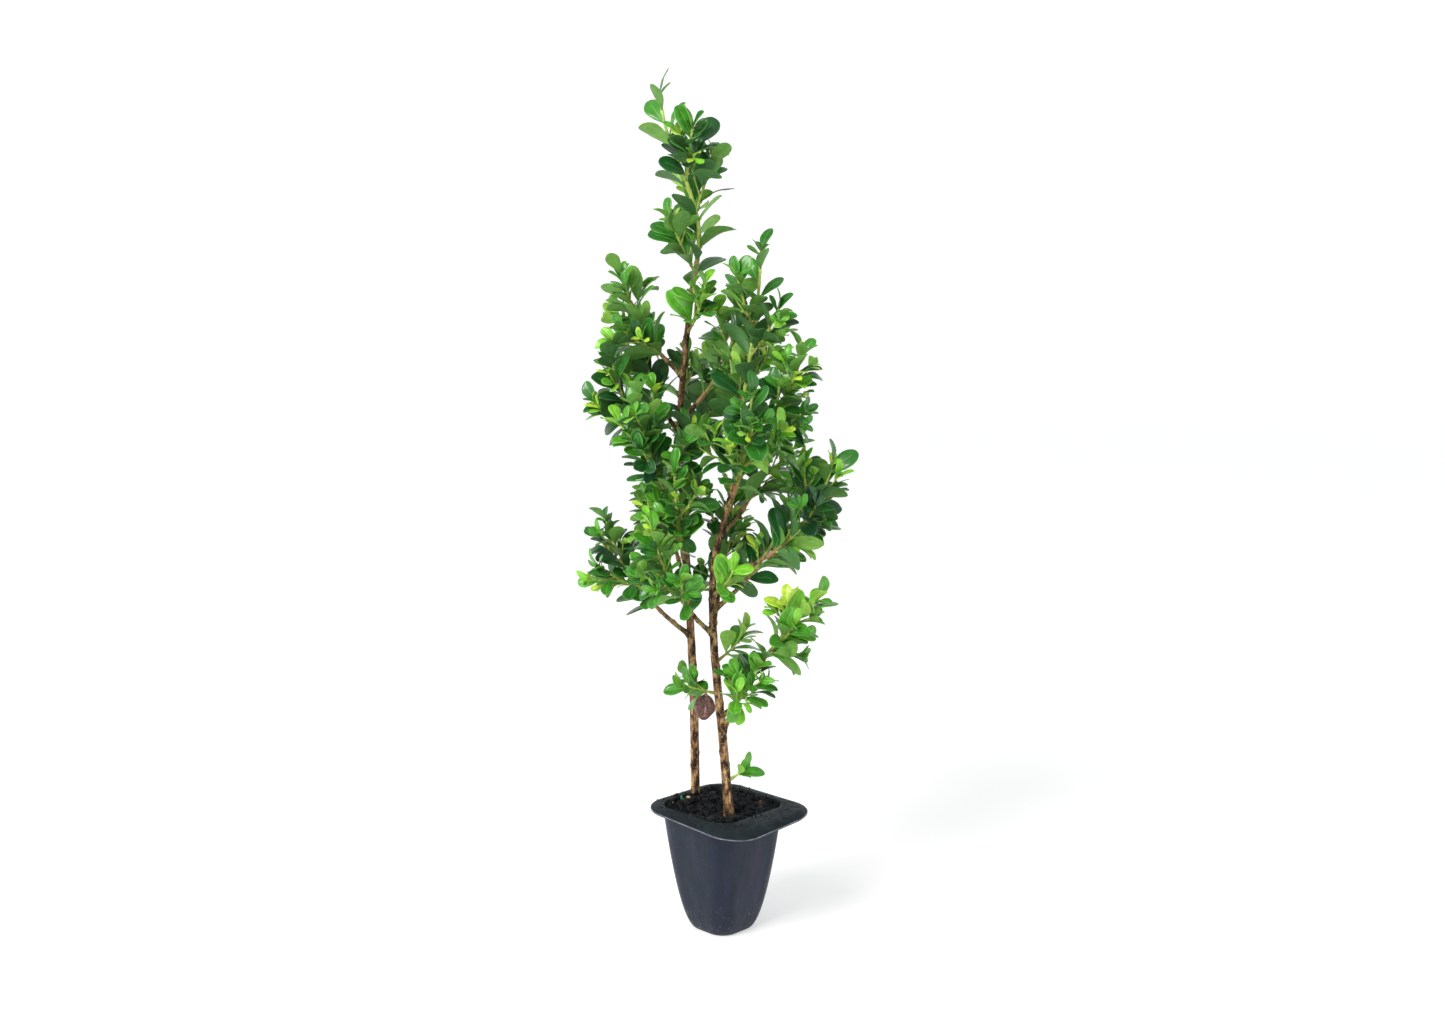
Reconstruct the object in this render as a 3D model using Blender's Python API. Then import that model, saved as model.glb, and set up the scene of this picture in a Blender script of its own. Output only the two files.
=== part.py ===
"""Young japanese holly: two woody stems from one root ball, standing in the single cell of a plug tray.

Frame: the origin is the middle of the pot's flat underside, Z is up, X runs to the right and Y runs
away, as seen in the view that the sizes were read from. The pot stands with a rounded corner to the
front. The stems carry side boughs, and each bough, each stem's top and a few buds on the bark carry a
mass of foliage: one leafy shoot with side twigs, grown by a seeded rule.
"""

import math
import random
from collections import namedtuple

import bmesh
import bpy
from mathutils import Matrix, Vector
from mathutils.bvhtree import BVHTree

MM = 0.001
UP = Vector((0, 0, 1))

# Clearance between pieces that touch
GAP = 0.3 * MM

# Pot: one cell of a plug tray, a rounded square that narrows to a small flat foot
POT_TURN = math.radians(45)
POT_DEPTH = 61 * MM
POT_WALL = 0.8 * MM
FLOOR_ROUND = 0.5 * MM
FOOT_HALF = 11.5 * MM
FOOT_CORNER = 8 * MM
MOUTH_HALF = 23.4 * MM
MOUTH_CORNER = 11 * MM
TAPER_POWER = 0.55
BODY_HEIGHTS = (0, 1.2, 4, 9, 16, 26, 40, 53)

# Flat rim round the mouth: narrow on the left front side, wide on the right front side, and sagging
# towards its front corner
RIM_THICK = 0.9 * MM
RIM_NARROW = 5.5 * MM
RIM_WIDE = 14 * MM
RIM_BACK = 5.5 * MM
RIM_CORNER = 16 * MM
RIM_DROOP = 1.2 * MM
RIM_BEND = 4.5 * MM
RIM_TIP = (2 * MOUTH_HALF + RIM_NARROW + RIM_WIDE - 2 * RIM_CORNER) * math.cos(POT_TURN) + RIM_CORNER
RIM_SAG = 2.6 * MM
SAG_INNER = 0.5
ARC_STEPS = 5

# Root ball: fills the pot to just under the rim
SOIL_TOP = 59.6 * MM
SOIL_EDGE = 1.6 * MM

# Woody stems: points on the middle line from the soil up, and the radii, in millimetres
STEM_SIDES = 9
STEM_STEPS = 3
FLARE_HEIGHT = 7 * MM
FLARE_GROWTH = 1.32
Stem = namedtuple("Stem", "route foot tip")
STEMS = {
    "stem_left": Stem(
        ((-13, 11), (-14, 12.5, 120), (-18.5, 13, 205), (-19.5, 12, 248), (-14.5, 11.5, 300)), 2.15, 1.25),
    "stem_front": Stem(
        ((3, -13), (0, -14, 98), (-4.2, -13.5, 146), (-3.6, -13.5, 182), (5, -13.5, 216), (7.5, -12.5, 240)),
        2.25, 1.25),
}

# Branches, in millimetres and degrees. A heading of 0 is right, 90 away, 180 left and 270 near.
# The rise above level goes from its first to its last value. The bare length is the bough, and the
# leafy length after it is the mass of foliage, with its number of side twigs and its leaf length.
Branch = namedtuple("Branch", "name stem height heading rise bare leafy twigs leaf")
BRANCHES = (
    Branch("front_low_right", "stem_front", 100, 350, (68, 44), 38, 40, 3, 18),
    Branch("front_cluster", "stem_front", 108, 318, (34, 66), 9, 27, 3, 17),
    Branch("front_right", "stem_front", 174, 346, (12, 78), 28, 54, 3, 19),
    Branch("front_left", "stem_front", 147, 216, (38, 76), 17, 46, 3, 17),
    Branch("front_back", "stem_front", 152, 78, (36, 76), 17, 52, 3, 17),
    Branch("front_right_back", "stem_front", 193, 36, (36, 78), 17, 56, 3, 18),
    Branch("front_near", "stem_front", 206, 288, (38, 80), 13, 52, 3, 19),
    Branch("left_low", "stem_left", 140, 192, (36, 74), 19, 52, 3, 17),
    Branch("left_back", "stem_left", 163, 112, (38, 76), 17, 54, 3, 17),
    Branch("left_mid", "stem_left", 197, 238, (38, 78), 16, 56, 3, 19),
    Branch("left_right_back", "stem_left", 216, 62, (38, 78), 15, 54, 3, 18),
    Branch("left_inner", "stem_left", 243, 352, (42, 84), 13, 52, 3, 19),
    Branch("left_high", "stem_left", 264, 172, (38, 80), 10, 46, 3, 18),
    Branch("front_side", "stem_front", 158, 8, (36, 76), 18, 50, 3, 18),
    Branch("front_high", "stem_front", 230, 342, (38, 78), 12, 46, 3, 18),
    Branch("left_near", "stem_left", 170, 262, (36, 76), 16, 50, 3, 18),
    Branch("left_side", "stem_left", 219, 196, (38, 78), 14, 50, 3, 18),
    Branch("left_far", "stem_left", 236, 130, (38, 78), 14, 50, 3, 18),
)

# Short leafy shoots that stand on the bark itself: no bare length
SPURS = (
    Branch("front_sprout", "stem_front", 76, 348, (40, 34), 0, 9, 0, 13),
    Branch("front_twig_left", "stem_front", 119, 196, (10, 26), 0, 17, 0, 15),
    Branch("front_spur_low", "stem_front", 134, 20, (24, 60), 0, 18, 0, 16),
    Branch("front_spur_mid", "stem_front", 166, 310, (24, 60), 0, 20, 0, 17),
    Branch("front_spur_high", "stem_front", 224, 200, (30, 70), 0, 24, 1, 17),
    Branch("left_sprout", "stem_left", 112, 262, (30, 55), 0, 11, 0, 14),
    Branch("left_spur_low", "stem_left", 158, 335, (24, 60), 0, 18, 0, 16),
    Branch("left_spur_mid", "stem_left", 184, 150, (24, 60), 0, 20, 0, 17),
    Branch("left_spur_near", "stem_left", 226, 290, (28, 64), 0, 22, 0, 18),
    Branch("left_spur_far", "stem_left", 254, 80, (28, 66), 0, 24, 1, 18),
    Branch("left_spur_top", "stem_left", 284, 300, (32, 72), 0, 26, 1, 19),
)

# Leading shoots that carry the stems on, green and leafy to the tip
LEADER_STEPS = 4
Leader = namedtuple("Leader", "name stem route twigs leaf")
LEADERS = (
    Leader(
        "left_top", "stem_left",
        ((-10.5, 11, 328), (-15.5, 10, 350), (-24, 9, 371), (-28.5, 8.5, 391)), 4, 21),
    Leader(
        "front_top", "stem_front",
        ((11.5, -10, 268), (15.5, -8, 296), (17.5, -7, 322)), 4, 19),
)

# Boughs and twigs, in radius
BOUGH_FOOT = 1.25 * MM
BOUGH_TIP = 0.85 * MM
BOUGH_SIDES = 6
SHOOT_FOOT = 0.95 * MM
SHOOT_TIP = 0.55 * MM
LEADER_FOOT = 1.25 * MM
TWIG_FOOT = 0.75 * MM
TWIG_TIP = 0.5 * MM
PATH_STEP = 8 * MM
ARCH_STEP = 3.2 * MM

# Twigs of a mass: where they stand along its main shoot, their turn, length and rise
REACH = 27 * MM
REACH_SHARE = 0.6
TRIES = 5
SPIRAL = math.radians(137.5)
TWIG_FROM = 0.12
TWIG_SPREAD = 0.6
TWIG_OPEN = math.radians(44)
TWIG_SHARE = 0.52
TWIG_SHORTER = 0.5
TWIG_SWAY = (0.85, 1.1)
TWIG_LIFT = 0.16
TWIG_RETRY = 0.7
TWIG_STEPS = 3

# Leaves of a shoot: their spacing, wider on a leader, how far they open and how they vary
LEAF_SPACING = 5.1 * MM
LEADER_SPACING = 6.4 * MM
TWIG_SPACING = 4.6 * MM
SPACING_SHARE = 0.24
SPACING_SWAY = (0.85, 1.15)
FIRST_LEAF = 3.2 * MM
LAST_LEAF = 0.6 * MM
LEAF_RETRY = (0.35, 0.6)
LEAF_OPEN_LOW = math.radians(58)
LEAF_OPEN_HIGH = math.radians(30)
LEAF_OPEN_SWAY = 0.14
LEAF_TO_SKY = (0.2, 0.7)
LEAF_ROLL = 0.95
LEAF_LONGEST = 1.05
LEAF_SHORTER = 0.35
LENGTH_SWAY = (0.85, 1.12)
WIDTH_SWAY = (0.88, 1.12)
TWIG_LEAF = 0.86

# Leaf: widest past its middle, with a blunt tip, as shares of its length
LEAF_OUTLINE = ((0.52, 0.27), (0.97, 0.13))
LEAF_THICK = 0.8 * MM
LEAF_RIDGE = 0.4
LEAF_SUNK = 0.1 * MM
TEST_SCALE = 1.06
TEST_THICK = 1.5 * MM


def clear_scene():
    """Remove whatever the opened file holds."""
    for item in list(bpy.data.objects):
        bpy.data.objects.remove(item, do_unlink=True)


def plain_material(name, colour, roughness):
    """A Principled material of one colour."""
    material = bpy.data.materials.new(name)
    material.use_nodes = True
    shader = material.node_tree.nodes["Principled BSDF"]
    shader.inputs["Base Color"].default_value = (*colour, 1)
    shader.inputs["Roughness"].default_value = roughness
    return material


def add_object(name, verts, faces, material):
    """Put a closed mesh into the scene as one named object."""
    mesh = bpy.data.meshes.new(name)
    mesh.from_pydata([tuple(v) for v in verts], [], faces)
    mesh.materials.append(material)
    thing = bpy.data.objects.new(name, mesh)
    bpy.context.scene.collection.objects.link(thing)
    return thing


class Limb:
    """A tapering limb: points on its middle line, the radius at each and the length up to each."""

    def __init__(self, points, radii):
        self.points = points
        self.radii = radii
        self.lengths = [0.0]
        for a, b in zip(points, points[1:]):
            self.lengths.append(self.lengths[-1] + (b - a).length)

    @property
    def length(self):
        return self.lengths[-1]

    def at(self, distance):
        """Point, direction and radius at a distance along the limb."""
        distance = min(max(distance, 0.0), self.length)
        k = 1
        while k < len(self.lengths) - 1 and self.lengths[k] < distance:
            k += 1
        span = self.lengths[k] - self.lengths[k - 1]
        share = (distance - self.lengths[k - 1]) / span
        point = self.points[k - 1].lerp(self.points[k], share)
        direction = (self.points[k] - self.points[k - 1]).normalized()
        radius = self.radii[k - 1] + (self.radii[k] - self.radii[k - 1]) * share
        return point, direction, radius

    def at_height(self, height):
        """Distance along the limb at which it passes a height."""
        for k, (a, b) in enumerate(zip(self.points, self.points[1:])):
            if a.z <= height <= b.z:
                return self.lengths[k] + (b - a).length * (height - a.z) / (b.z - a.z)
        return self.length

    def fattened(self, more):
        """The same limb with more round it."""
        return Limb(self.points, [radius + more for radius in self.radii])

    def cut(self, start, end, foot, tip):
        """The stretch of this limb between two distances, tapered anew."""
        steps = max(2, round((end - start) / PATH_STEP))
        points = [self.at(start + (end - start) * k / steps)[0] for k in range(steps + 1)]
        return Limb(points, [foot + (tip - foot) * k / steps for k in range(steps + 1)])


def smooth_route(corners, per_span):
    """A smooth line through a few points (Catmull-Rom)."""
    line = []
    for k in range(len(corners) - 1):
        before = corners[max(k - 1, 0)]
        start = corners[k]
        end = corners[k + 1]
        after = corners[min(k + 2, len(corners) - 1)]
        for step in range(per_span):
            t = step / per_span
            line.append(0.5 * (
                2 * start + (end - before) * t
                + (2 * before - 5 * start + 4 * end - after) * t * t
                + (3 * start - before - 3 * end + after) * t * t * t
            ))
    line.append(corners[-1])
    return line


def heading_vector(heading, rise):
    """Unit vector from a compass heading and a rise above level, in degrees."""
    turn = math.radians(heading)
    lift = math.radians(rise)
    return Vector((math.cos(turn) * math.cos(lift), math.sin(turn) * math.cos(lift), math.sin(lift)))


def arching_line(start, heading, rise, length):
    """Points of a branch whose rise changes evenly along it."""
    steps = max(3, round(length / ARCH_STEP))
    points = [start.copy()]
    for k in range(steps):
        share = (k + 0.5) / steps
        direction = heading_vector(heading, rise[0] + (rise[1] - rise[0]) * share)
        points.append(points[-1] + direction * (length / steps))
    return points


def tube(limb, sides):
    """Vertices and faces of a limb with flat ends, its ring carried along without twist."""
    verts = []
    faces = []
    count = len(limb.points)
    side = None
    for k, (point, radius) in enumerate(zip(limb.points, limb.radii)):
        ahead = limb.points[min(k + 1, count - 1)] - limb.points[max(k - 1, 0)]
        ahead.normalize()
        if side is None:
            side = ahead.orthogonal()
        side = (side - ahead * side.dot(ahead)).normalized()
        other = ahead.cross(side)
        for s in range(sides):
            turn = 2 * math.pi * s / sides
            verts.append(point + (side * math.cos(turn) + other * math.sin(turn)) * radius)
    for k in range(count - 1):
        for s in range(sides):
            t = (s + 1) % sides
            faces.append((k * sides + s, k * sides + t, (k + 1) * sides + t, (k + 1) * sides + s))
    faces.append(tuple(reversed(range(sides))))
    faces.append(tuple(range((count - 1) * sides, count * sides)))
    return verts, faces


class Leaf:
    """One leaf: its root on a shoot, the way it points, its upper face, its length and its width."""

    def __init__(self, root, along, normal, length, width):
        self.root = root
        self.along = along.normalized()
        self.side = normal.cross(self.along).normalized()
        self.normal = self.along.cross(self.side).normalized()
        self.length = length
        self.width = width

    def point(self, along, across, up):
        return self.root + self.along * along + self.side * across + self.normal * up


def leaf_solid(leaf, scale=1.0, thick=LEAF_THICK, start=-LEAF_SUNK):
    """A thin closed blade: from its root to its widest and its tip, round a ridge above and below."""
    length = leaf.length * scale
    outline = [leaf.point(start, 0, 0)]
    for along, half in LEAF_OUTLINE:
        outline.append(leaf.point(along * length, -half * length * leaf.width, 0))
    for along, half in reversed(LEAF_OUTLINE):
        outline.append(leaf.point(along * length, half * length * leaf.width, 0))
    count = len(outline)
    top = leaf.point(LEAF_RIDGE * length, 0, thick / 2)
    bottom = leaf.point(LEAF_RIDGE * length, 0, -thick / 2)
    faces = []
    for k in range(count):
        nxt = (k + 1) % count
        faces.append((k, nxt, count))
        faces.append((nxt, k, count + 1))
    return outline + [top, bottom], faces


class Space:
    """All that already stands. A leaf or a twig is taken only where it is clear of all of it."""

    def __init__(self):
        self.items = []

    def add(self, solid, owner=None):
        self.items.append((BVHTree.FromPolygons(*solid), *self.ball(solid[0]), owner))

    @staticmethod
    def ball(verts):
        low = Vector([min(v[i] for v in verts) for i in range(3)])
        high = Vector([max(v[i] for v in verts) for i in range(3)])
        return (low + high) / 2, (high - low).length / 2

    def clear(self, solid, owner=None):
        tree = BVHTree.FromPolygons(*solid)
        centre, radius = self.ball(solid[0])
        for other, middle, reach, theirs in self.items:
            if owner is not None and theirs == owner:
                continue
            if (middle - centre).length < radius + reach and tree.overlap(other):
                return False
        return True


def leaf_at(rng, limb, distance, turn, size):
    """A leaf on a shoot, opening less and growing smaller towards the shoot's tip."""
    point, ahead, _ = limb.at(distance)
    share = distance / limb.length
    opening = LEAF_OPEN_LOW + (LEAF_OPEN_HIGH - LEAF_OPEN_LOW) * share
    opening += rng.uniform(-LEAF_OPEN_SWAY, LEAF_OPEN_SWAY)
    side = ahead.orthogonal().normalized()
    outward = side * math.cos(turn) + ahead.cross(side) * math.sin(turn)
    along = ahead * math.cos(opening) + outward * math.sin(opening)
    face = ahead * math.sin(opening) - outward * math.cos(opening) + UP * rng.uniform(*LEAF_TO_SKY)
    face = Matrix.Rotation(rng.uniform(-LEAF_ROLL, LEAF_ROLL), 3, along) @ face
    length = size * (LEAF_LONGEST - LEAF_SHORTER * share ** 2) * rng.uniform(*LENGTH_SWAY)
    return Leaf(point, along, face, length, rng.uniform(*WIDTH_SWAY))


def dress_shoot(rng, limb, owner, space, size, spacing, keep):
    """Set leaves round a shoot in a spiral, trying a few turns for each before it is skipped."""
    leaves = []
    turn = rng.uniform(0, 2 * math.pi)
    distance = FIRST_LEAF
    while distance < limb.length:
        for attempt in range(TRIES):
            leaf = leaf_at(rng, limb, distance, turn + attempt * rng.uniform(*LEAF_RETRY), size)
            solid = leaf_solid(leaf, TEST_SCALE, TEST_THICK, limb.at(distance)[2] + GAP)
            if keep(leaf.point(leaf.length, 0, 0)) and space.clear(solid, owner):
                space.add(solid)
                leaves.append(leaf)
                break
        turn += SPIRAL
        distance += spacing * rng.uniform(*SPACING_SWAY)
        if limb.length - spacing < distance < limb.length:
            distance = limb.length - LAST_LEAF
    return leaves


def side_twig(main, distance, turn, length):
    """A thin twig that leaves the main shoot at a distance along it and curves up a little."""
    point, ahead, _ = main.at(distance)
    side = ahead.orthogonal().normalized()
    outward = side * math.cos(turn) + ahead.cross(side) * math.sin(turn)
    way = ahead * math.cos(TWIG_OPEN) + outward * math.sin(TWIG_OPEN)
    points = [point.copy()]
    for _ in range(TWIG_STEPS):
        way = (way + UP * TWIG_LIFT).normalized()
        points.append(points[-1] + way * length / TWIG_STEPS)
    return Limb(points, [TWIG_FOOT + (TWIG_TIP - TWIG_FOOT) * s / TWIG_STEPS for s in range(TWIG_STEPS + 1)])


def grow_mass(name, main, twig_count, size, apart, space):
    """One mass of foliage: the main shoot, its side twigs and the leaves of each, shoot by shoot.

    The main shoot has a leaf about every apart, and a twig has them closer together.
    """
    rng = random.Random(name)
    reach = min(REACH, REACH_SHARE * main.length + size)

    def keep(point):
        return min((p - point).length for p in main.points) < reach

    shoots = {name: main}
    turn = rng.uniform(0, 2 * math.pi)
    for k in range(twig_count):
        share = TWIG_FROM + TWIG_SPREAD * k / twig_count
        length = main.length * TWIG_SHARE * (1 - TWIG_SHORTER * share) * rng.uniform(*TWIG_SWAY)
        length = min(length, REACH)
        clear_of_main = main.at(share * main.length)[2] + 2 * GAP
        for attempt in range(TRIES):
            twig = side_twig(main, share * main.length, turn + attempt * TWIG_RETRY, length)
            probe = tube(twig.cut(clear_of_main, length, 2 * TWIG_FOOT, 2 * TWIG_FOOT), 3)
            if space.clear(probe, name) and keep(twig.points[-1]):
                owner = f"{name}{k}"
                space.add(tube(twig.fattened(GAP), 3), owner)
                shoots[owner] = twig
                break
        turn += 2 * SPIRAL
    leaves = []
    for owner, shoot in shoots.items():
        first = shoot is main
        spacing = min(apart if first else TWIG_SPACING, SPACING_SHARE * shoot.length)
        leaf_length = size if first else TWIG_LEAF * size
        leaves.append(dress_shoot(rng, shoot, owner, space, leaf_length, spacing, keep))
    return list(shoots.values()), leaves


def stem_limb(stem):
    """A woody stem from the soil up: a flared foot, then an even taper."""
    base = SOIL_TOP + GAP
    corners = [Vector((*stem.route[0], 0)) * MM + UP * base]
    corners += [Vector(point) * MM for point in stem.route[1:]]
    line = smooth_route(corners, STEM_STEPS)
    line.insert(1, line[0].lerp(line[1], FLARE_HEIGHT / (line[1] - line[0]).length))
    limb = Limb(line, [0.0] * len(line))
    foot = stem.foot * MM
    tip = stem.tip * MM
    limb.radii = [foot + (tip - foot) * d / limb.length for d in limb.lengths]
    limb.radii[0] *= FLARE_GROWTH
    return limb


def side_limb(branch, stem, foot):
    """The whole line of a branch, and the distance along it that is clear of the stem's bark."""
    point, ahead, radius = stem.at(stem.at_height(branch.height * MM))
    points = arching_line(point, branch.heading, branch.rise, (branch.bare + branch.leafy) * MM)
    line = Limb(points, [foot] * len(points))
    angle = ahead.angle(line.at(0)[1])
    start = (radius + GAP + foot * abs(math.cos(angle))) / math.sin(angle)
    return line, start


def leading_limb(leader, stem):
    """The green shoot that carries a stem on from its tip."""
    corners = [stem.points[-2], stem.points[-1]] + [Vector(point) * MM for point in leader.route]
    line = smooth_route(corners, LEADER_STEPS)[LEADER_STEPS:]
    whole = Limb(line, [LEADER_FOOT] * len(line))
    return whole.cut(GAP, whole.length, LEADER_FOOT, SHOOT_TIP)


def grow_plant():
    """All limbs by name, and all masses by name with their shoots and leaves, in a fixed order."""
    space = Space()
    for solid in (pot_solid(), soil_solid()):
        space.add(solid)
    limbs = {name: stem_limb(stem) for name, stem in STEMS.items()}
    shoots = {row.name: leading_limb(row, limbs[row.stem]) for row in LEADERS}
    for row in BRANCHES:
        line, start = side_limb(row, limbs[row.stem], BOUGH_FOOT)
        limbs["bough_" + row.name] = line.cut(start, row.bare * MM, BOUGH_FOOT, BOUGH_TIP)
        shoots[row.name] = line.cut(row.bare * MM + GAP, line.length, SHOOT_FOOT, SHOOT_TIP)
    for row in SPURS:
        line, start = side_limb(row, limbs[row.stem], SHOOT_FOOT)
        shoots[row.name] = line.cut(start, line.length, SHOOT_FOOT, SHOOT_TIP)
    for limb in limbs.values():
        space.add(tube(limb.fattened(GAP), STEM_SIDES))
    for name, shoot in shoots.items():
        space.add(tube(shoot.fattened(GAP), 3), "foliage_" + name)
    masses = {}
    for row in LEADERS + BRANCHES + SPURS:
        name = "foliage_" + row.name
        apart = LEADER_SPACING if row in LEADERS else LEAF_SPACING
        masses[name] = grow_mass(name, shoots[row.name], row.twigs, row.leaf * MM, apart, space)
    return limbs, masses


def pot_half(height):
    """Half the pot's outer width at a height: a steady taper that rounds in to the foot."""
    return FOOT_HALF + (MOUTH_HALF - FOOT_HALF) * (height / POT_DEPTH) ** TAPER_POWER


def pot_corner(height):
    return FOOT_CORNER + (MOUTH_CORNER - FOOT_CORNER) * height / POT_DEPTH


def rounded_ring(left, near, right, far, corner, height):
    """A rounded rectangle in the pot's own plan, turned with the pot."""
    ring = []
    turn = Matrix.Rotation(POT_TURN, 3, "Z")
    middles = ((right - corner, far - corner), (left + corner, far - corner),
               (left + corner, near + corner), (right - corner, near + corner))
    for quarter, (x, y) in enumerate(middles):
        middle = Vector((x, y, height))
        for step in range(ARC_STEPS + 1):
            angle = math.radians(90 * (quarter + step / ARC_STEPS))
            ring.append(turn @ (middle + Vector((math.cos(angle), math.sin(angle), 0)) * corner))
    return ring


def square_ring(half, corner, height):
    return rounded_ring(-half, -half, half, half, corner, height)


def rim_ring(inset, height):
    """The rim's outline, drawn in by an inset."""
    left = -MOUTH_HALF - RIM_NARROW + inset
    near = -MOUTH_HALF - RIM_WIDE + inset
    back = MOUTH_HALF + RIM_BACK - inset
    return rounded_ring(left, near, back, back, RIM_CORNER - inset, height)


def sagging(ring, share):
    """The same ring, let down by a share of the rim's sag, which grows towards the front corner."""
    for point in ring:
        forward = min(max(-point.y / RIM_TIP, 0), 1)
        point.z -= share * RIM_SAG * forward * forward * (3 - 2 * forward)
    return ring


def loft(rings):
    """A closed body through rings that all have the same number of points."""
    count = len(rings[0])
    verts = [v for ring in rings for v in ring]
    faces = []
    for k in range(len(rings) - 1):
        for s in range(count):
            t = (s + 1) % count
            faces.append((k * count + s, k * count + t, (k + 1) * count + t, (k + 1) * count + s))
    faces.append(tuple(reversed(range(count))))
    faces.append(tuple(range((len(rings) - 1) * count, len(rings) * count)))
    return verts, faces


def pot_solid():
    """Up the outside, out under the rim, back over it and down the inside."""
    under = POT_DEPTH - RIM_THICK
    rings = [square_ring(pot_half(h * MM), pot_corner(h * MM), h * MM) for h in BODY_HEIGHTS]
    rings.append(square_ring(pot_half(under), pot_corner(under), under))
    rings.append(sagging(rim_ring(RIM_BEND, under), SAG_INNER))
    rings.append(sagging(rim_ring(0, under - RIM_DROOP), 1))
    rings.append(sagging(rim_ring(0, POT_DEPTH - RIM_DROOP), 1))
    rings.append(sagging(rim_ring(RIM_BEND, POT_DEPTH), SAG_INNER))
    rings.append(square_ring(MOUTH_HALF - POT_WALL, MOUTH_CORNER - POT_WALL, POT_DEPTH))
    for h in reversed(BODY_HEIGHTS[2:]):
        rings.append(square_ring(pot_half(h * MM) - POT_WALL, pot_corner(h * MM) - POT_WALL, h * MM))
    floor = BODY_HEIGHTS[1] * MM
    inner = pot_half(floor) - POT_WALL - FLOOR_ROUND
    rings.append(square_ring(inner, pot_corner(floor) - POT_WALL, floor))
    return loft(rings)


def soil_solid():
    """The root ball, clear of the pot's wall by the gap, with a softened top edge."""
    inset = POT_WALL + GAP
    floor = BODY_HEIGHTS[1] * MM
    inner = pot_half(floor) - inset - 2 * FLOOR_ROUND
    rings = [square_ring(inner, pot_corner(floor) - POT_WALL, floor + GAP)]
    for h in BODY_HEIGHTS[2:]:
        rings.append(square_ring(pot_half(h * MM) - inset, pot_corner(h * MM) - inset, h * MM))
    shoulder = SOIL_TOP - SOIL_EDGE
    rings.append(square_ring(pot_half(shoulder) - inset, pot_corner(shoulder) - inset, shoulder))
    rings.append(square_ring(pot_half(SOIL_TOP) - inset - SOIL_EDGE, pot_corner(SOIL_TOP) - inset, SOIL_TOP))
    return loft(rings)


def largest_piece(mesh):
    """Keep the one outer body, with any sealed hollow filled and any scrap dropped. Says if it is closed."""
    work = bmesh.new()
    work.from_mesh(mesh)
    work.faces.ensure_lookup_table()
    left = set(work.faces)
    pieces = []
    while left:
        edge = [left.pop()]
        piece = set(edge)
        while edge:
            for link in edge.pop().edges:
                for face in link.link_faces:
                    if face in left:
                        left.remove(face)
                        piece.add(face)
                        edge.append(face)
        pieces.append(piece)
    pieces.sort(key=len)
    scrap = [face for piece in pieces[:-1] for face in piece]
    bmesh.ops.delete(work, geom=scrap, context="FACES")
    bmesh.ops.delete(work, geom=[v for v in work.verts if not v.link_faces], context="VERTS")
    closed = all(edge.is_manifold for edge in work.edges)
    work.to_mesh(mesh)
    work.free()
    return closed


def fused_object(name, solids, material, solver="EXACT"):
    """Join solids that overlap into one body by a single Boolean union on a collection."""
    body = add_object(name, *solids[0], material)
    others = bpy.data.collections.new(name + "_parts")
    bpy.context.scene.collection.children.link(others)
    for verts, faces in solids[1:]:
        extra = add_object(name + "_part", verts, faces, material)
        bpy.context.scene.collection.objects.unlink(extra)
        others.objects.link(extra)
    union = body.modifiers.new("union", "BOOLEAN")
    union.operation = "UNION"
    union.operand_type = "COLLECTION"
    union.collection = others
    union.solver = solver
    bpy.context.view_layer.update()
    graph = bpy.context.evaluated_depsgraph_get()
    fused = bpy.data.meshes.new_from_object(body.evaluated_get(graph))
    body.modifiers.clear()
    body.data = fused
    for extra in list(others.objects):
        bpy.data.objects.remove(extra, do_unlink=True)
    bpy.data.collections.remove(others)
    return body, largest_piece(fused)


def foliage_object(name, shoots, leaves, material):
    """A mass of foliage as one body, with fewer leaves if a join stays open."""
    twigs = [tube(shoot, 3) for shoot in shoots]
    blades = [leaf_solid(leaf) for row in leaves for leaf in row]
    for solver in ("EXACT", "MANIFOLD"):
        body, closed = fused_object(name, twigs + blades, material, solver)
        if closed:
            return body
        bpy.data.objects.remove(body, do_unlink=True)
    return fused_object(name, twigs + blades[::2], material)[0]


def main():
    clear_scene()
    plastic = plain_material("pot_plastic", (0.045, 0.05, 0.07), 0.45)
    peat = plain_material("peat", (0.02, 0.014, 0.01), 0.95)
    bark = plain_material("bark", (0.28, 0.17, 0.09), 0.8)
    green = plain_material("leaf_green", (0.09, 0.25, 0.04), 0.4)
    add_object("pot", *pot_solid(), plastic)
    add_object("soil", *soil_solid(), peat)
    limbs, masses = grow_plant()
    for name, limb in limbs.items():
        sides = STEM_SIDES if name in STEMS else BOUGH_SIDES
        add_object(name, *tube(limb, sides), bark)
    for name, (shoots, leaves) in masses.items():
        foliage_object(name, shoots, leaves, green)


main()
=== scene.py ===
"""Young japanese holly in one plug-tray cell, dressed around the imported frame.

Metres, in the frame's own axes: Z is up, X runs to the right and Y runs away from the camera. Stems,
boughs, shoots and leaves grow by the same seeded rule as the solids, so that each leaf stands where its
solid does. The rule is then carried on, within the same reach, to finer twigs, small leaves and buds.
Bark, root ball and pot are meshes with their own relief.
"""

import random
from collections import namedtuple
from math import ceil, copysign, cos, exp, pi, radians, sin, tau

import bmesh
import bpy
import numpy as np
from mathutils import Matrix, Vector, noise
from mathutils.bvhtree import BVHTree


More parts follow.
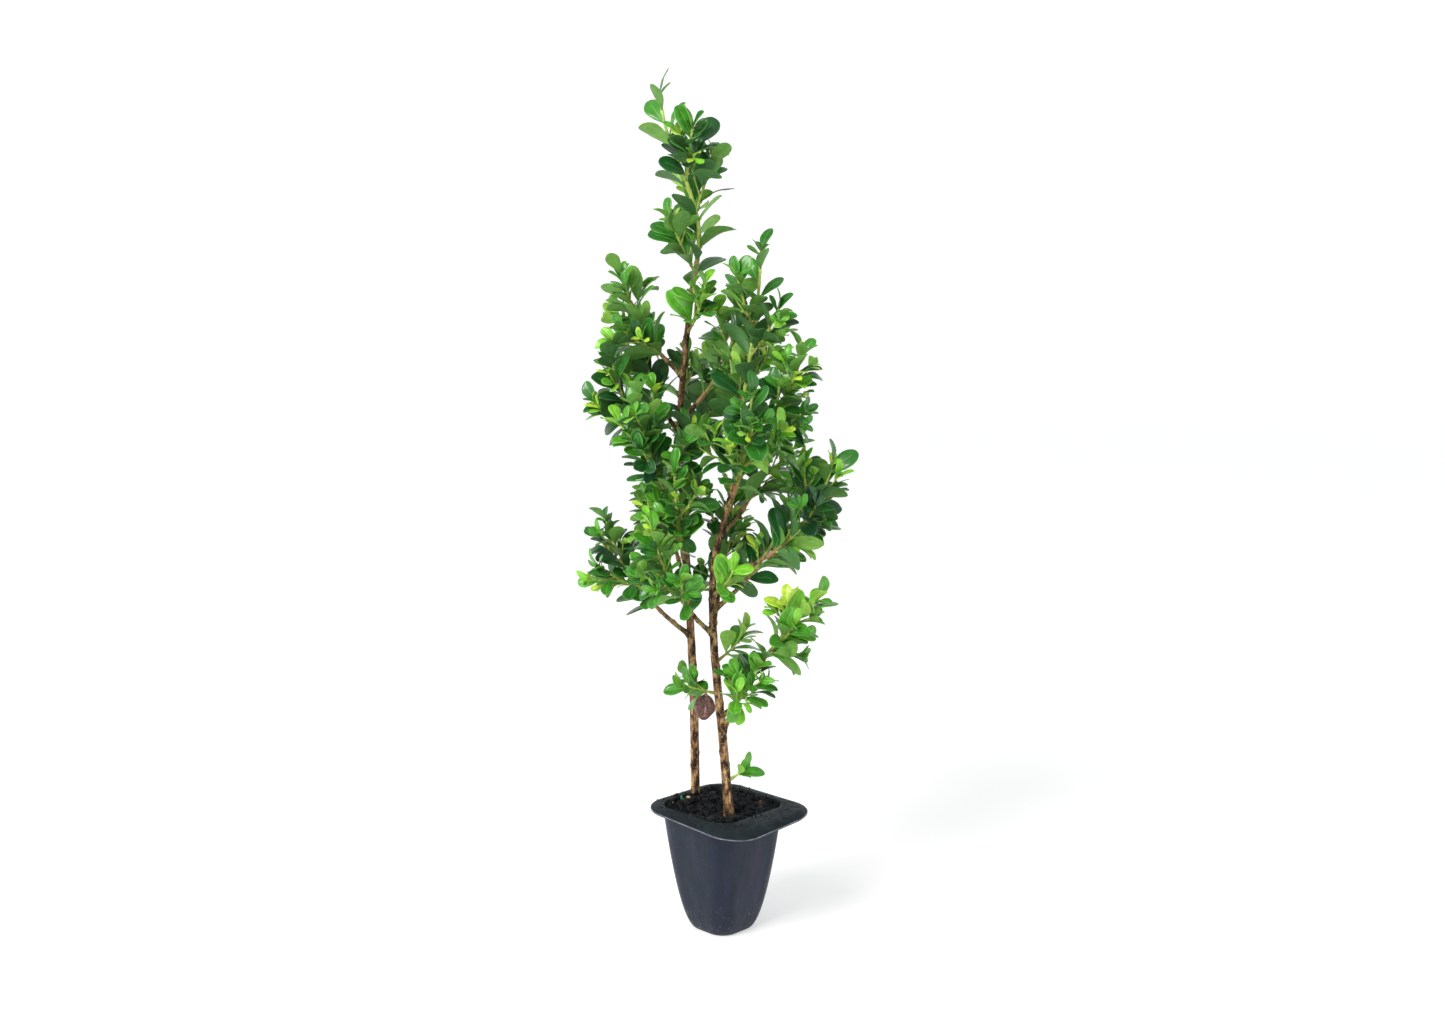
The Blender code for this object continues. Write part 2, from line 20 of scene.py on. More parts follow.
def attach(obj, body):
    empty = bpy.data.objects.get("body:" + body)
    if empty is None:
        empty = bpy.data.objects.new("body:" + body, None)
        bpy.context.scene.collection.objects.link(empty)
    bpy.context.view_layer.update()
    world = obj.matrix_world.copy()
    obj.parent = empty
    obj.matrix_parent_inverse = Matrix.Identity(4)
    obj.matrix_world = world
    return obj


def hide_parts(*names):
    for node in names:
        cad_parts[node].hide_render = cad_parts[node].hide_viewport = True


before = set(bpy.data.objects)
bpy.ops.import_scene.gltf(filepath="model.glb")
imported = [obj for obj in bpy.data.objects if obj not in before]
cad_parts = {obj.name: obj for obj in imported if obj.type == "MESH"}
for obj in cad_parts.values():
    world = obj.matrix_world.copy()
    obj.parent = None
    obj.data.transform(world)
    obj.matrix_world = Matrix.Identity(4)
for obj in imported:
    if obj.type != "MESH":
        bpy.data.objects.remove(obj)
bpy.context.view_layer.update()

MM = 0.001
UP = Vector((0, 0, 1))
NOISE_SPAN = 99
GAP = 0.3 * MM

# Pot: one cell of a plug tray, as in the solids
POT_TURN = radians(45)
POT_DEPTH = 61 * MM
POT_WALL = 0.8 * MM
FOOT_HALF = 11.5 * MM
FOOT_CORNER = 8 * MM
MOUTH_HALF = 23.4 * MM
MOUTH_CORNER = 11 * MM
TAPER_POWER = 0.55
RIM_THICK = 0.9 * MM
RIM_NARROW = 5.5 * MM
RIM_WIDE = 14 * MM
RIM_BACK = 5.5 * MM
RIM_CORNER = 16 * MM
RIM_DROOP = 1.2 * MM
RIM_BEND = 4.5 * MM
RIM_TIP = (2 * MOUTH_HALF + RIM_NARROW + RIM_WIDE - 2 * RIM_CORNER) * cos(POT_TURN) + RIM_CORNER
RIM_SAG = 2.6 * MM
SAG_INNER = 0.5
FLOOR_HEIGHT = 1.2 * MM

# Pot, made here only: rings of its mesh, bevels, and how the thin rim droops and waves
BODY_RINGS = 30
RING_POWER = 1.8
ARC_STEPS = 14
RIM_STEPS = 6
RIM_BEVEL = 0.22 * MM
MOUTH_BEVEL = 0.3 * MM
FLOOR_ROUND = 0.5 * MM
DROOP_POWER = 1.6
RIM_STIFF = 34 * MM
RIM_FREE = 10 * MM
RIM_WAVE = 0.7 * MM
RIM_WAVE_LONG = 17 * MM

# Woody stems, as in the solids
SOIL_TOP = 59.6 * MM
STEM_SIDES = 9
STEM_STEPS = 3
FLARE_HEIGHT = 7 * MM
FLARE_GROWTH = 1.32
Stem = namedtuple("Stem", "route foot tip")
STEMS = {
    "stem_left": Stem(
        ((-13, 11), (-14, 12.5, 120), (-18.5, 13, 205), (-19.5, 12, 248), (-14.5, 11.5, 300)), 2.15, 1.25),
    "stem_front": Stem(
        ((3, -13), (0, -14, 98), (-4.2, -13.5, 146), (-3.6, -13.5, 182), (5, -13.5, 216), (7.5, -12.5, 240)),
        2.25, 1.25),
}

# Branches and short shoots, in millimetres and degrees, as in the solids; a name starts with its stem's
Branch = namedtuple("Branch", "name height heading rise bare leafy twigs leaf")
BRANCHES = [Branch(*row) for row in (
    ("front_low_right", 100, 350, (68, 44), 38, 40, 3, 18),
    ("front_cluster", 108, 318, (34, 66), 9, 27, 3, 17),
    ("front_right", 174, 346, (12, 78), 28, 54, 3, 19),
    ("front_left", 147, 216, (38, 76), 17, 46, 3, 17),
    ("front_back", 152, 78, (36, 76), 17, 52, 3, 17),
    ("front_right_back", 193, 36, (36, 78), 17, 56, 3, 18),
    ("front_near", 206, 288, (38, 80), 13, 52, 3, 19),
    ("left_low", 140, 192, (36, 74), 19, 52, 3, 17),
    ("left_back", 163, 112, (38, 76), 17, 54, 3, 17),
    ("left_mid", 197, 238, (38, 78), 16, 56, 3, 19),
    ("left_right_back", 216, 62, (38, 78), 15, 54, 3, 18),
    ("left_inner", 243, 352, (42, 84), 13, 52, 3, 19),
    ("left_high", 264, 172, (38, 80), 10, 46, 3, 18),
    ("front_side", 158, 8, (36, 76), 18, 50, 3, 18),
    ("front_high", 230, 342, (38, 78), 12, 46, 3, 18),
    ("left_near", 170, 262, (36, 76), 16, 50, 3, 18),
    ("left_side", 219, 196, (38, 78), 14, 50, 3, 18),
    ("left_far", 236, 130, (38, 78), 14, 50, 3, 18),
)]
SPURS = [Branch(*row) for row in (
    ("front_sprout", 76, 348, (40, 34), 0, 9, 0, 13),
    ("front_twig_left", 119, 196, (10, 26), 0, 17, 0, 15),
    ("front_spur_low", 134, 20, (24, 60), 0, 18, 0, 16),
    ("front_spur_mid", 166, 310, (24, 60), 0, 20, 0, 17),
    ("front_spur_high", 224, 200, (30, 70), 0, 24, 1, 17),
    ("left_sprout", 112, 262, (30, 55), 0, 11, 0, 14),
    ("left_spur_low", 158, 335, (24, 60), 0, 18, 0, 16),
    ("left_spur_mid", 184, 150, (24, 60), 0, 20, 0, 17),
    ("left_spur_near", 226, 290, (28, 64), 0, 22, 0, 18),
    ("left_spur_far", 254, 80, (28, 66), 0, 24, 1, 18),
    ("left_spur_top", 284, 300, (32, 72), 0, 26, 1, 19),
)]

# Leading shoots, as in the solids
LEADER_STEPS = 4
Leader = namedtuple("Leader", "name route twigs leaf")
LEADERS = [
    Leader("left_top", ((-10.5, 11, 328), (-15.5, 10, 350), (-24, 9, 371), (-28.5, 8.5, 391)), 4, 21),
    Leader("front_top", ((11.5, -10, 268), (15.5, -8, 296), (17.5, -7, 322)), 4, 19),
]

# Radii at the foot and the tip, and steps along boughs and twigs, as in the solids
BOUGH_RADII = (1.25 * MM, 0.85 * MM)
SHOOT_RADII = (0.95 * MM, 0.55 * MM)
LEADER_RADII = (1.25 * MM, 0.55 * MM)
TWIG_RADII = (0.75 * MM, 0.5 * MM)
PATH_STEP = 8 * MM
ARCH_STEP = 3.2 * MM

# Twigs of a mass, as in the solids
REACH = 27 * MM
REACH_SHARE = 0.6
TRIES = 5
SPIRAL = radians(137.5)
TWIG_FROM = 0.12
TWIG_SPREAD = 0.6
TWIG_OPEN = radians(44)
TWIG_SHARE = 0.52
TWIG_SHORTER = 0.5
TWIG_SWAY = (0.85, 1.1)
TWIG_LIFT = 0.16
TWIG_RETRY = 0.7
TWIG_STEPS = 3

# Leaves of a shoot, as in the solids
LEAF_SPACING = 5.1 * MM
LEADER_SPACING = 6.4 * MM
TWIG_SPACING = 4.6 * MM
SPACING_SHARE = 0.24
SPACING_SWAY = (0.85, 1.15)
FIRST_LEAF = 3.2 * MM
LAST_LEAF = 0.6 * MM
LEAF_RETRY = (0.35, 0.6)
LEAF_OPEN_LOW = radians(58)
LEAF_OPEN_HIGH = radians(30)
LEAF_OPEN_SWAY = 0.14
LEAF_TO_SKY = (0.2, 0.7)
LEAF_ROLL = 0.95
LEAF_LONGEST = 1.05
LEAF_SHORTER = 0.35
LENGTH_SWAY = (0.85, 1.12)
WIDTH_SWAY = (0.88, 1.12)
TWIG_LEAF = 0.86
LEAF_OUTLINE = ((0.52, 0.27), (0.97, 0.13))
LEAF_RIDGE = 0.4
TEST_SCALE = 1.06
TEST_THICK = 1.5 * MM
MOST_SOLIDS = 8192

# Finer growth, made here only: small leaves between the large ones, short twigs and young tips
FINE_THICK = 0.5 * MM
FINE_LEAF = 0.8
FINE_SPACING = 3.6 * MM
SPRIG_LENGTH = (7 * MM, 14 * MM)
SPRIG_SPACING = 10 * MM
SPRIG_FROM = 0.25
SPRIG_SPREAD = 0.6
SPRIG_THIN = 0.62
SPRIG_LEAF = 0.62
SPRIG_LEAF_SPACING = 2.9 * MM
YOUNG_LEAF = (5 * MM, 9.5 * MM)
YOUNG_WIDTH = (0.8, 1.1)
YOUNG_OPEN = (0.35, 1.0)
YOUNG_ROLL = 0.8
YOUNG_COUNT = 4
YOUNG_SHARE = 2.0

# Shoots: rings and sides of their mesh, swellings at the leaves, ridges, and buds
SHOOT_RING = 1.2 * MM
SHOOT_SIDES = 8
KNOT_WIDE = 0.7 * MM
KNOT_RISE = 0.18
SHOOT_RIDGE = 0.04 * MM
SHOOT_COLLAR = 0.4
SHOOT_FADE = 1.1 * MM
SHOOT_AGES = (0.1, 0.24, 0.5, 0.8)
BUD_LENGTH = (1.2 * MM, 2 * MM)
BUD_WIDE = 0.36
BUD_OUTLINE = ((-0.1, 0.7), (0.2, 1), (0.5, 0.95), (0.8, 0.55), (1, 0.08))
BUD_LEAN = 1.2
BUD_OUT = 0.8

# How far a main shoot goes back into what bears it, its share of the solid's radius, its youngest colour
FEET = ((BRANCHES, (1 * MM, 0.88, 0)), (SPURS, (2.4 * MM, 0.62, 1)), (LEADERS, (2.4 * MM, 1, 0)))
TWIG_FEET = (0, 0.85, 2)

# Bark: rings and sides of its mesh, the flare at the foot, collars, ridges, crumbs and leaf scars
BARK_RING = 0.4 * MM
STEM_SKIN = 36
BOUGH_SKIN = 22
FOOT_BELOW = 2 * MM
FOOT_FLARE = 0.17
FOOT_FADE = 2.6 * MM
FOOT_LOBES = (5, 0.25)
COLLAR = 0.7
COLLAR_FADE = 1.6 * MM
RIDGES = (0.13 * MM, 0.9 * MM, 6)
BARK_CRUMBS = (0.08 * MM, 0.5 * MM, 1.5)
SCAR_STEP = (4 * MM, 8 * MM)
SCAR_TURN = 0.4
SCAR_SWAY = (0.5, 1)
SCAR_RISE = 0.34 * MM
SCAR_LONG = 1.2 * MM
SCAR_WIDE = 1.2 * MM
SCAR_REACH = 2.5
SCAR_ABOVE = 0.5 * MM
SCAR_SIZE = (0.4 * MM, 1.15 * MM, 0.13 * MM)
SCAR_BOW = 0.35

# Root ball: mesh, mound at the left stem, and lumps
SOIL_EDGE = 1.6 * MM
EDGE_DROP = 0.5
EDGE_POWER = 24
SOIL_POINTS = 168
SOIL_RINGS = 46
PLUG_RINGS = 8
MOUND = 2.6 * MM
MOUND_AT = Vector((-11, 9, 0)) * MM
MOUND_WIDE = 13 * MM
LUMPS = ((5.5 * MM, 1.8 * MM), (2.3 * MM, 1.2 * MM), (0.9 * MM, 0.45 * MM))
LUMPS_APART = 50

# What lies on the root ball: how much of each, its size and place, how rough it is, and its colours
CRUMBS = 620
CRUMB_RADIUS = (0.3 * MM, 2 * MM)
CRUMB_SWAY = (0.6, 1.25)
CRUMB_LIFT = (-0.1, 0.6)
CRUMB_LOOKS = (0.9, (0, 0, 0, 0, 1, 1, 2))
CHIPS = 60
CHIP_LENGTH = (0.9, 2.6)
CHIP_WIDE = (0.25, 0.5)
CHIP_THICK = (0.12, 0.25)
CHIP_LIFT = 0.2 * MM
CHIP_LOOKS = (0.5, (0, 1, 1, 2, 3))
SPILLED = 70
SPILL_REACH = 4.5 * MM
SPILL_RADIUS = (0.15 * MM, 0.55 * MM)
SPILL_WIDE = (0.6, 1)
SPILL_THICK = 0.5
SPILL_LIFT = 0.4
SPILL_LOOKS = (0.7, (0, 1, 1, 2))
DENT_CELLS = 1.6
FIBRES = 110
FIBRE_POINTS = 7
FIBRE_LENGTH = (3 * MM, 9 * MM)
FIBRE_RADIUS = 0.11 * MM
FIBRE_SWAY = (0.6, 1.4)
FIBRE_BEND = 0.7
FIBRE_LIFT = (-0.1, 1.1)
FIBRE_INWARD = 0.985
FIBRE_SLOTS = (0, 0, 1)
SPECK_ROUGH = 0.25
SPECK_LIFT = 0.5
SPECKS = (
    ("feed_bead", -19, 6, (1.4, 1.4, 1.4), (24, 128, 96)),
    ("chip_pale", -16.2, 5, (1.3, 0.9, 0.8), (206, 180, 142)),
    ("chip_orange", 18, 4, (3.2, 0.9, 0.6), (150, 102, 60)),
    ("grit_white", 17, -1, (0.9, 0.8, 0.8), (226, 226, 218)),
    ("grit_grey", -6, -22, (0.6, 0.5, 0.5), (188, 190, 186)),
    ("grit_pale", -24, 1, (0.8, 0.7, 0.7), (206, 206, 200)),
)

# Leaf blade: rows along it, columns across it, and its outline as shares of its length
ROWS = (0, 0.06, 0.12, 0.2, 0.31, 0.44, 0.57, 0.7, 0.82, 0.91, 0.965, 0.99, 1)
RIB = 0.12
COLUMNS = (-1, -0.9, -0.5, -RIB, RIB, 0.5, 0.9, 1)
SMALL_COLUMNS = (-1, -0.5, -RIB, RIB, 0.5, 1)
STALK = 0.1
STALK_HALF = 0.02
STALK_THICK = 1.2
BLADE_HALF = 0.225
BLADE_THICK = 0.3 * MM
BLADE_LEAST = 0.5
SMALL_LEAF = 9 * MM
LEAF_FULL = 18 * MM
RIB_HALF = 0.2 * MM
RIB_SHARE = 0.4
RIB_SUNK = 0.06 * MM
RIB_PROUD = 0.12 * MM
RIB_END = 0.88

# How a blade bends: arch, droop, fold, curl, twist, sway and waves, and where it is widest and how blunt
Shape = namedtuple("Shape", "bow droop fold curl twist sway wave phase widest blunt")
LEAF_SHAPES = Shape(
    (0.02, 0.11), (0, 0.13), (0.04, 0.4), (0, 0.2), (-0.35, 0.35), (-0.07, 0.07), (0, 0.08), (0, tau),
    (1.3, 1.85), (0.46, 0.62))

# Withered leaf on a low twig
DEAD_LEAF_TWIG = "foliage_front_twig_left"
DEAD_LEAF_AT = 3.4 * MM
DEAD_LEAF_WAY = Vector((-0.15, 0.05, -1))
DEAD_LEAF_FACE = Vector((0.25, -1, 0))
DEAD_LEAF_LENGTH = 15 * MM
DEAD_LEAF_WIDTH = 1.35
DEAD_LEAF_SHAPE = Shape(0.14, 0.16, 0.12, 0.5, 0.4, 0.08, 0.2, 1.0, 0.85, 0.66)
DEAD_LEAF_COLOURS = {"top": (106, 74, 68), "under": (122, 94, 82), "rib": (152, 116, 108)}

# Leaf colours from the shaded inside to the youngest tips: upper side and underside, in sRGB
Tone = namedtuple("Tone", "name top under")
TONES = (
    Tone("dark", (13, 60, 32), (52, 96, 58)),
    Tone("deep", (24, 80, 30), (72, 118, 60)),
    Tone("mid", (42, 108, 30), (94, 142, 62)),
    Tone("fresh", (62, 136, 34), (112, 162, 70)),
    Tone("light", (86, 160, 40), (132, 182, 76)),
    Tone("bright", (124, 194, 52), (156, 200, 86)),
    Tone("young", (182, 216, 66), (192, 220, 98)),
)
# The rib is paler in its own colour; on the margin the same pale colour is a painted highlight.
PALER = 1.1
LEVEL_SPREAD = (-0.2, 5.2, 2.3)
LEVEL_SWAY = 0.7
LOW_CLUSTER = 0.17
LOW_BRIGHTER = 0.8
YOUNG_SHOOTS = 0.4
YOUNG_STEP = 1.5
OUTER_SHARE = 0.72

# Mottled looks: how far the colour sways, size of its patches, roughness, and cell and depth of the relief
Look = namedtuple("Look", "sway cell rough relief depth")
LEAF_TOP = Look(0.1, 2.6 * MM, (0.36, 0.46), 0.9 * MM, 0.05 * MM)
LEAF_UNDER = Look(0.08, 2.2 * MM, (0.5, 0.62), 0.6 * MM, 0.05 * MM)
LEAF_RIB = Look(0.06, 1.5 * MM, (0.42, 0.55), 0.4 * MM, 0.03 * MM)
# Margin: a pale strip along the leaf's edge, a painted highlight where light catches it.
LEAF_LIT_EDGE = Look(0.06, 1.5 * MM, (0.4, 0.5), 0.4 * MM, 0.03 * MM)
LEAF_DEAD = Look(0.35, 1.4 * MM, (0.6, 0.8), 0.7 * MM, 0.25 * MM)
SHOOT_LOOK = Look(0.12, 1.4 * MM, (0.42, 0.58), 0.35 * MM, 0.05 * MM)
SCAR_LOOK = Look(0.3, 0.5 * MM, (0.75, 0.9), 0.3 * MM, 0.1 * MM)
SPECK_LOOK = Look(0.15, 0.8 * MM, (0.4, 0.7), 0.4 * MM, 0.1 * MM)
EDGE_LOOK = Look(0.25, 3 * MM, (0.4, 0.55), 0.6 * MM, 0.04 * MM)
MOTTLED_STEPS = (0.3, 0.5, 0.7)
LEAF_BODY = {"Subsurface Weight": 0.12, "Subsurface Radius": (0.4, 1.0, 0.15), "Subsurface Scale": 0.6 * MM}
LEAF_GLOSS = {"Specular IOR Level": 0.3, "Coat Weight": 0.5, "Coat Roughness": 0.11, **LEAF_BODY}
SHOOT_COLOURS = {
    "shoot_brown": (142, 108, 68),
    "shoot_olive": (140, 134, 66),
    "shoot_green": (146, 170, 72),
    "shoot_bright": (174, 196, 88),
    "shoot_tip": (192, 212, 104),
}
BUD_COLOUR = (150, 160, 74)
SCAR_COLOUR = (48, 34, 25)

# Layers of colour: the share covered, and cell, detail, upright stretch and span of the noise behind it
Layer = namedtuple("Layer", "colour share cell detail upright start end least", defaults=(1, 0.3, 0.7, 0))

# Surfaces: reflection, noise and range of the roughness, and noise, depth and strength of the relief
Surface = namedtuple("Surface", "shine grain rough relief depth strength", defaults=(1,))

# Bark: colours from its lit crests to its shaded cracks, low and high, then streaks, pale flecks, pits and
# damp
BARK_STEPS = (0.33, 0.44, 0.54, 0.64)
BARK_PATCHES = (2.2 * MM, 5, 0.38)
# Each ramp paints light and shade into random patches of the bark's own tan and brown: lit crests pale,
# shaded cracks dark.
BARK_LOW = ((216, 180, 132), (160, 124, 86), (88, 62, 39), (32, 21, 13))
BARK_HIGH = ((156, 124, 90), (110, 82, 58), (74, 53, 37), (38, 26, 18))
BARK_BOUGH = ((182, 158, 102), (144, 120, 76), (104, 82, 52), (56, 42, 27))
BARK_BOUGH_HIGH = ((166, 156, 92), (126, 112, 66), (90, 76, 46), (48, 38, 25))
BARK_HEIGHTS = (90 * MM, 280 * MM)
BARK_LAYERS = (
    Layer((52, 36, 24), 0.65, 0.8 * MM, 4, 0.14, 0.53, 0.64),
    Layer((218, 192, 154), 0.4, 0.6 * MM, 3, 0.5, 0.58, 0.68),
    Layer((36, 25, 17), 0.8, 0.8 * MM, 4, 0.6, 0.58, 0.65),
)
BARK_DAMP = Layer((40, 30, 24), 1, *BARK_PATCHES, least=0.5)
DAMP_HEIGHTS = (61 * MM, 66 * MM)
BARK_SURFACE = Surface(0.2, (0.8 * MM, 4, 0.6), (0.72, 0.92), (0.3 * MM, 5, 0.5), 0.2 * MM)

# Peat: colours of crumbs and fibres, and how each varies
PEAT_COLOURS = {
    "crumb_black": (7, 12, 17), "crumb_dark": (17, 24, 30),
    "crumb_brown": (27, 26, 27), "crumb_tan": (70, 60, 51)}
FIBRE_COLOURS = {"fibre_dark": (42, 38, 36), "fibre_tan": (92, 76, 58)}
PEAT_STEPS = (0.32, 0.5, 0.72)
PEAT_SHADES = (0.45, 1, 1.7)
PEAT_FINE = (0.6, 0.35 * MM, 4)
PEAT_SURFACE = Surface(0.25, (1.3 * MM, 4), (0.3, 0.9), (0.35 * MM, 4), 0.4 * MM)

# Pot and rim: streaks and patches, a tint in wide clouds, scuffs at the foot, dust, and the cut edge
POT_STEPS = (0.32, 0.5, 0.68)
POT_COLOURS = ((15, 24, 40), (23, 32, 49), (38, 35, 58))
POT_STREAKS = (6 * MM, 3, 0.05)
POT_TINT = Layer((16, 31, 45), 0.6, 14 * MM, 2)
POT_SCUFFS = Layer((104, 110, 124), 1, 1.3 * MM, 6, 0.5, 0.63, 0.7)
SCUFF_FADE = (1, 0.12, 0, 16 * MM)
POT_SURFACE = Surface(0.25, (3 * MM, 4, 0.3), (0.36, 0.54), (5 * MM, 2, 0.12), 0.35 * MM, 0.5)
RIM_COLOURS = ((14, 24, 29), (20, 30, 36), (29, 40, 46))
RIM_PATCH = 9 * MM
RIM_DUST = Layer((25, 24, 24), 0.7, 2.2 * MM, 5, 1, 0.6, 0.7)
RIM_SURFACE = Surface(0.25, (2.2 * MM, 5), (0.48, 0.75), (4 * MM, 2), 0.12 * MM, 0.5)
EDGE_COLOUR = (98, 103, 112)

# Backdrop, light and camera
FLOOR_REACH = 2.2
STAGE_BEND = 0.9
STAGE_TOP = 1.5
STAGE_STEPS = 12
STAGE_SIDES = 96
STAGE_COLOUR = (226, 226, 226)
STAGE_GLOW = 0.42
SKY_COLOUR = (0.96, 0.98, 1.0, 1.0)
SKY_STRENGTH = 0.5
LIGHT_TARGET = (0, 0, 0.2)
LIGHTS = (
    ("key", (-0.9, -1.1, 1.3), 0.8, 26, (1.0, 0.98, 0.94)),
    ("fill", (1.3, -0.7, 0.8), 1.0, 2, (0.95, 0.98, 1.0)),
)
CAMERA_AT = (-0.0035, -0.887, 0.360)
CAMERA_TARGET = (0, 0, 0.2)
LENS = 48.5
SENSOR = 36.0
CREASE = radians(60)


class Limb:
    """A tapering limb: points on its middle line, the radius at each and the length up to each."""

    def __init__(self, points, radii):
        self.points = points
        self.radii = radii
        self.lengths = [0.0]
        for a, b in zip(points, points[1:]):
            self.lengths.append(self.lengths[-1] + (b - a).length)

    @property
    def length(self):
        return self.lengths[-1]

    def at(self, distance):
        """Point, direction and radius at a distance along the limb."""
        distance = min(max(distance, 0.0), self.length)
        k = 1
        while k < len(self.lengths) - 1 and self.lengths[k] < distance:
            k += 1
        span = self.lengths[k] - self.lengths[k - 1]
        share = (distance - self.lengths[k - 1]) / span
        point = self.points[k - 1].lerp(self.points[k], share)
        direction = (self.points[k] - self.points[k - 1]).normalized()
        return point, direction, self.radii[k - 1] + (self.radii[k] - self.radii[k - 1]) * share

    def at_height(self, height):
        """Distance along the limb at which it passes a height."""
        for k, (a, b) in enumerate(zip(self.points, self.points[1:])):
            if a.z <= height <= b.z:
                return self.lengths[k] + (b - a).length * (height - a.z) / (b.z - a.z)
        return self.length

    def fattened(self, more):
        """The same limb with more round it."""
        return Limb(self.points, [radius + more for radius in self.radii])

    def slimmed(self, share):
        """The same limb at a share of its thickness."""
        return Limb(self.points, [radius * share for radius in self.radii])

    def cut(self, start, end, foot, tip):
        """The stretch of this limb between two distances, tapered anew."""
        steps = max(2, round((end - start) / PATH_STEP))
        return tapered([self.at(start + (end - start) * k / steps)[0] for k in range(steps + 1)], foot, tip)

    def smoothed(self, step):
        """The same limb on a smooth line with a point about every step."""
        longest = max(b - a for a, b in zip(self.lengths, self.lengths[1:]))
        per_span = max(1, ceil(longest / step))
        radii = []
        for a, b in zip(self.radii, self.radii[1:]):
            radii.extend(a + (b - a) * k / per_span for k in range(per_span))
        return Limb(smooth_route(self.points, per_span), radii + [self.radii[-1]])

    def grown_back(self, more):
        """The same limb with its foot carried back into what bears it."""
        if not more:
            return self
        return Limb([self.points[0] - self.at(0)[1] * more] + self.points, [self.radii[0]] + self.radii)


def tapered(points, foot, tip):
    """A limb whose radius changes evenly from point to point."""
    steps = len(points) - 1
    return Limb(points, [foot + (tip - foot) * k / steps for k in range(steps + 1)])


def smooth_route(corners, per_span):
    """A smooth line through a few points (Catmull-Rom)."""
    line = []
    for k in range(len(corners) - 1):
        before = corners[max(k - 1, 0)]
        start = corners[k]
        end = corners[k + 1]
        after = corners[min(k + 2, len(corners) - 1)]
        for step in range(per_span):
            t = step / per_span
            line.append(0.5 * (
                2 * start + (end - before) * t
                + (2 * before - 5 * start + 4 * end - after) * t * t
                + (3 * start - before - 3 * end + after) * t * t * t
            ))
    line.append(corners[-1])
    return line


def heading_vector(heading, rise):
    """Unit vector from a compass heading and a rise above level, in degrees."""
    turn = radians(heading)
    lift = radians(rise)
    return Vector((cos(turn) * cos(lift), sin(turn) * cos(lift), sin(lift)))


def arching_line(start, heading, rise, length):
    """Points of a branch whose rise changes evenly along it."""
    steps = max(3, round(length / ARCH_STEP))
    points = [start.copy()]
    for k in range(steps):
        share = (k + 0.5) / steps
        direction = heading_vector(heading, rise[0] + (rise[1] - rise[0]) * share)
        points.append(points[-1] + direction * (length / steps))
    return points


def splayed(ahead, turn, opening):
    """A way that opens from a shoot at a turn round it, and the way that its upper side faces."""
    side = ahead.orthogonal().normalized()
    outward = side * cos(turn) + ahead.cross(side) * sin(turn)
    return ahead * cos(opening) + outward * sin(opening), ahead * sin(opening) - outward * cos(opening)


def loft(rings):
    """A closed body through rings that all have the same number of points; its two ends come last."""
    count = len(rings[0])
    faces = []
    for k in range(len(rings) - 1):
        for s in range(count):
            t = (s + 1) % count
            faces.append((k * count + s, k * count + t, (k + 1) * count + t, (k + 1) * count + s))
    faces.append(tuple(reversed(range(count))))
    faces.append(tuple(range((len(rings) - 1) * count, len(rings) * count)))
    return [point for ring in rings for point in ring], faces


def tube(limb, sides, relief=None):
    """A limb as a closed body, its ring carried along without twist, and thicker by its relief."""
    rings = []
    side = None
    for k, (point, radius) in enumerate(zip(limb.points, limb.radii)):
        ahead = limb.points[min(k + 1, len(limb.points) - 1)] - limb.points[max(k - 1, 0)]
        ahead.normalize()
        if side is None:
            side = ahead.orthogonal()
        side = (side - ahead * side.dot(ahead)).normalized()
        other = ahead.cross(side)
        ring = []
        for s in range(sides):
            turn = tau * s / sides
            more = relief(limb.lengths[k], turn) if relief else 0.0
            ring.append(point + (side * cos(turn) + other * sin(turn)) * (radius + more))
        rings.append(ring)
    return loft(rings)


class Leaf:
    """One leaf: its root on a shoot, the way it points, its upper face, its length and its width."""

    def __init__(self, root, along, normal, length, width, share):
        self.root = root
        self.along = along.normalized()
        self.side = normal.cross(self.along).normalized()
        self.normal = self.along.cross(self.side).normalized()
        self.length = length
        self.width = width
        self.share = share

    def point(self, along, across, up):
        return self.root + self.along * along + self.side * across + self.normal * up


def leaf_solid(leaf, scale, thick, start):
    """A thin closed blade: from its root to its widest and its tip, round a ridge above and below."""
    length = leaf.length * scale
    verts = [leaf.point(start, 0, 0)]
    for side, outline in ((-1, LEAF_OUTLINE), (1, LEAF_OUTLINE[::-1])):
        verts += [leaf.point(along * length, side * half * length * leaf.width, 0) for along, half in outline]
    count = len(verts)
    faces = []
    for k in range(count):
        nxt = (k + 1) % count
        faces += [(k, nxt, count), (nxt, k, count + 1)]
    return verts + [leaf.point(LEAF_RIDGE * length, 0, up) for up in (thick / 2, -thick / 2)], faces


class Space:
    """All that already stands. A leaf or a twig is taken only where it is clear of all of it."""

    def __init__(self):
        self.trees = []
        self.owners = []
        self.balls = np.zeros((MOST_SOLIDS, 4))

    def add(self, solid, owner=None):
        self.balls[len(self.trees)] = self.ball(solid[0])
        self.trees.append(BVHTree.FromPolygons(*solid))
        self.owners.append(owner)

    @staticmethod
    def ball(verts):
        low = Vector([min(v[i] for v in verts) for i in range(3)])
        high = Vector([max(v[i] for v in verts) for i in range(3)])
        return (*((low + high) / 2), (high - low).length / 2)

    def clear(self, solid, owner):
        tree = BVHTree.FromPolygons(*solid)
        ball = np.array(self.ball(solid[0]))
        others = self.balls[:len(self.trees)]
        apart = np.linalg.norm(others[:, :3] - ball[:3], axis=1) - others[:, 3] - ball[3]
        near = (k for k in np.nonzero(apart < 0)[0] if self.owners[k] != owner)
        return not any(tree.overlap(self.trees[k]) for k in near)


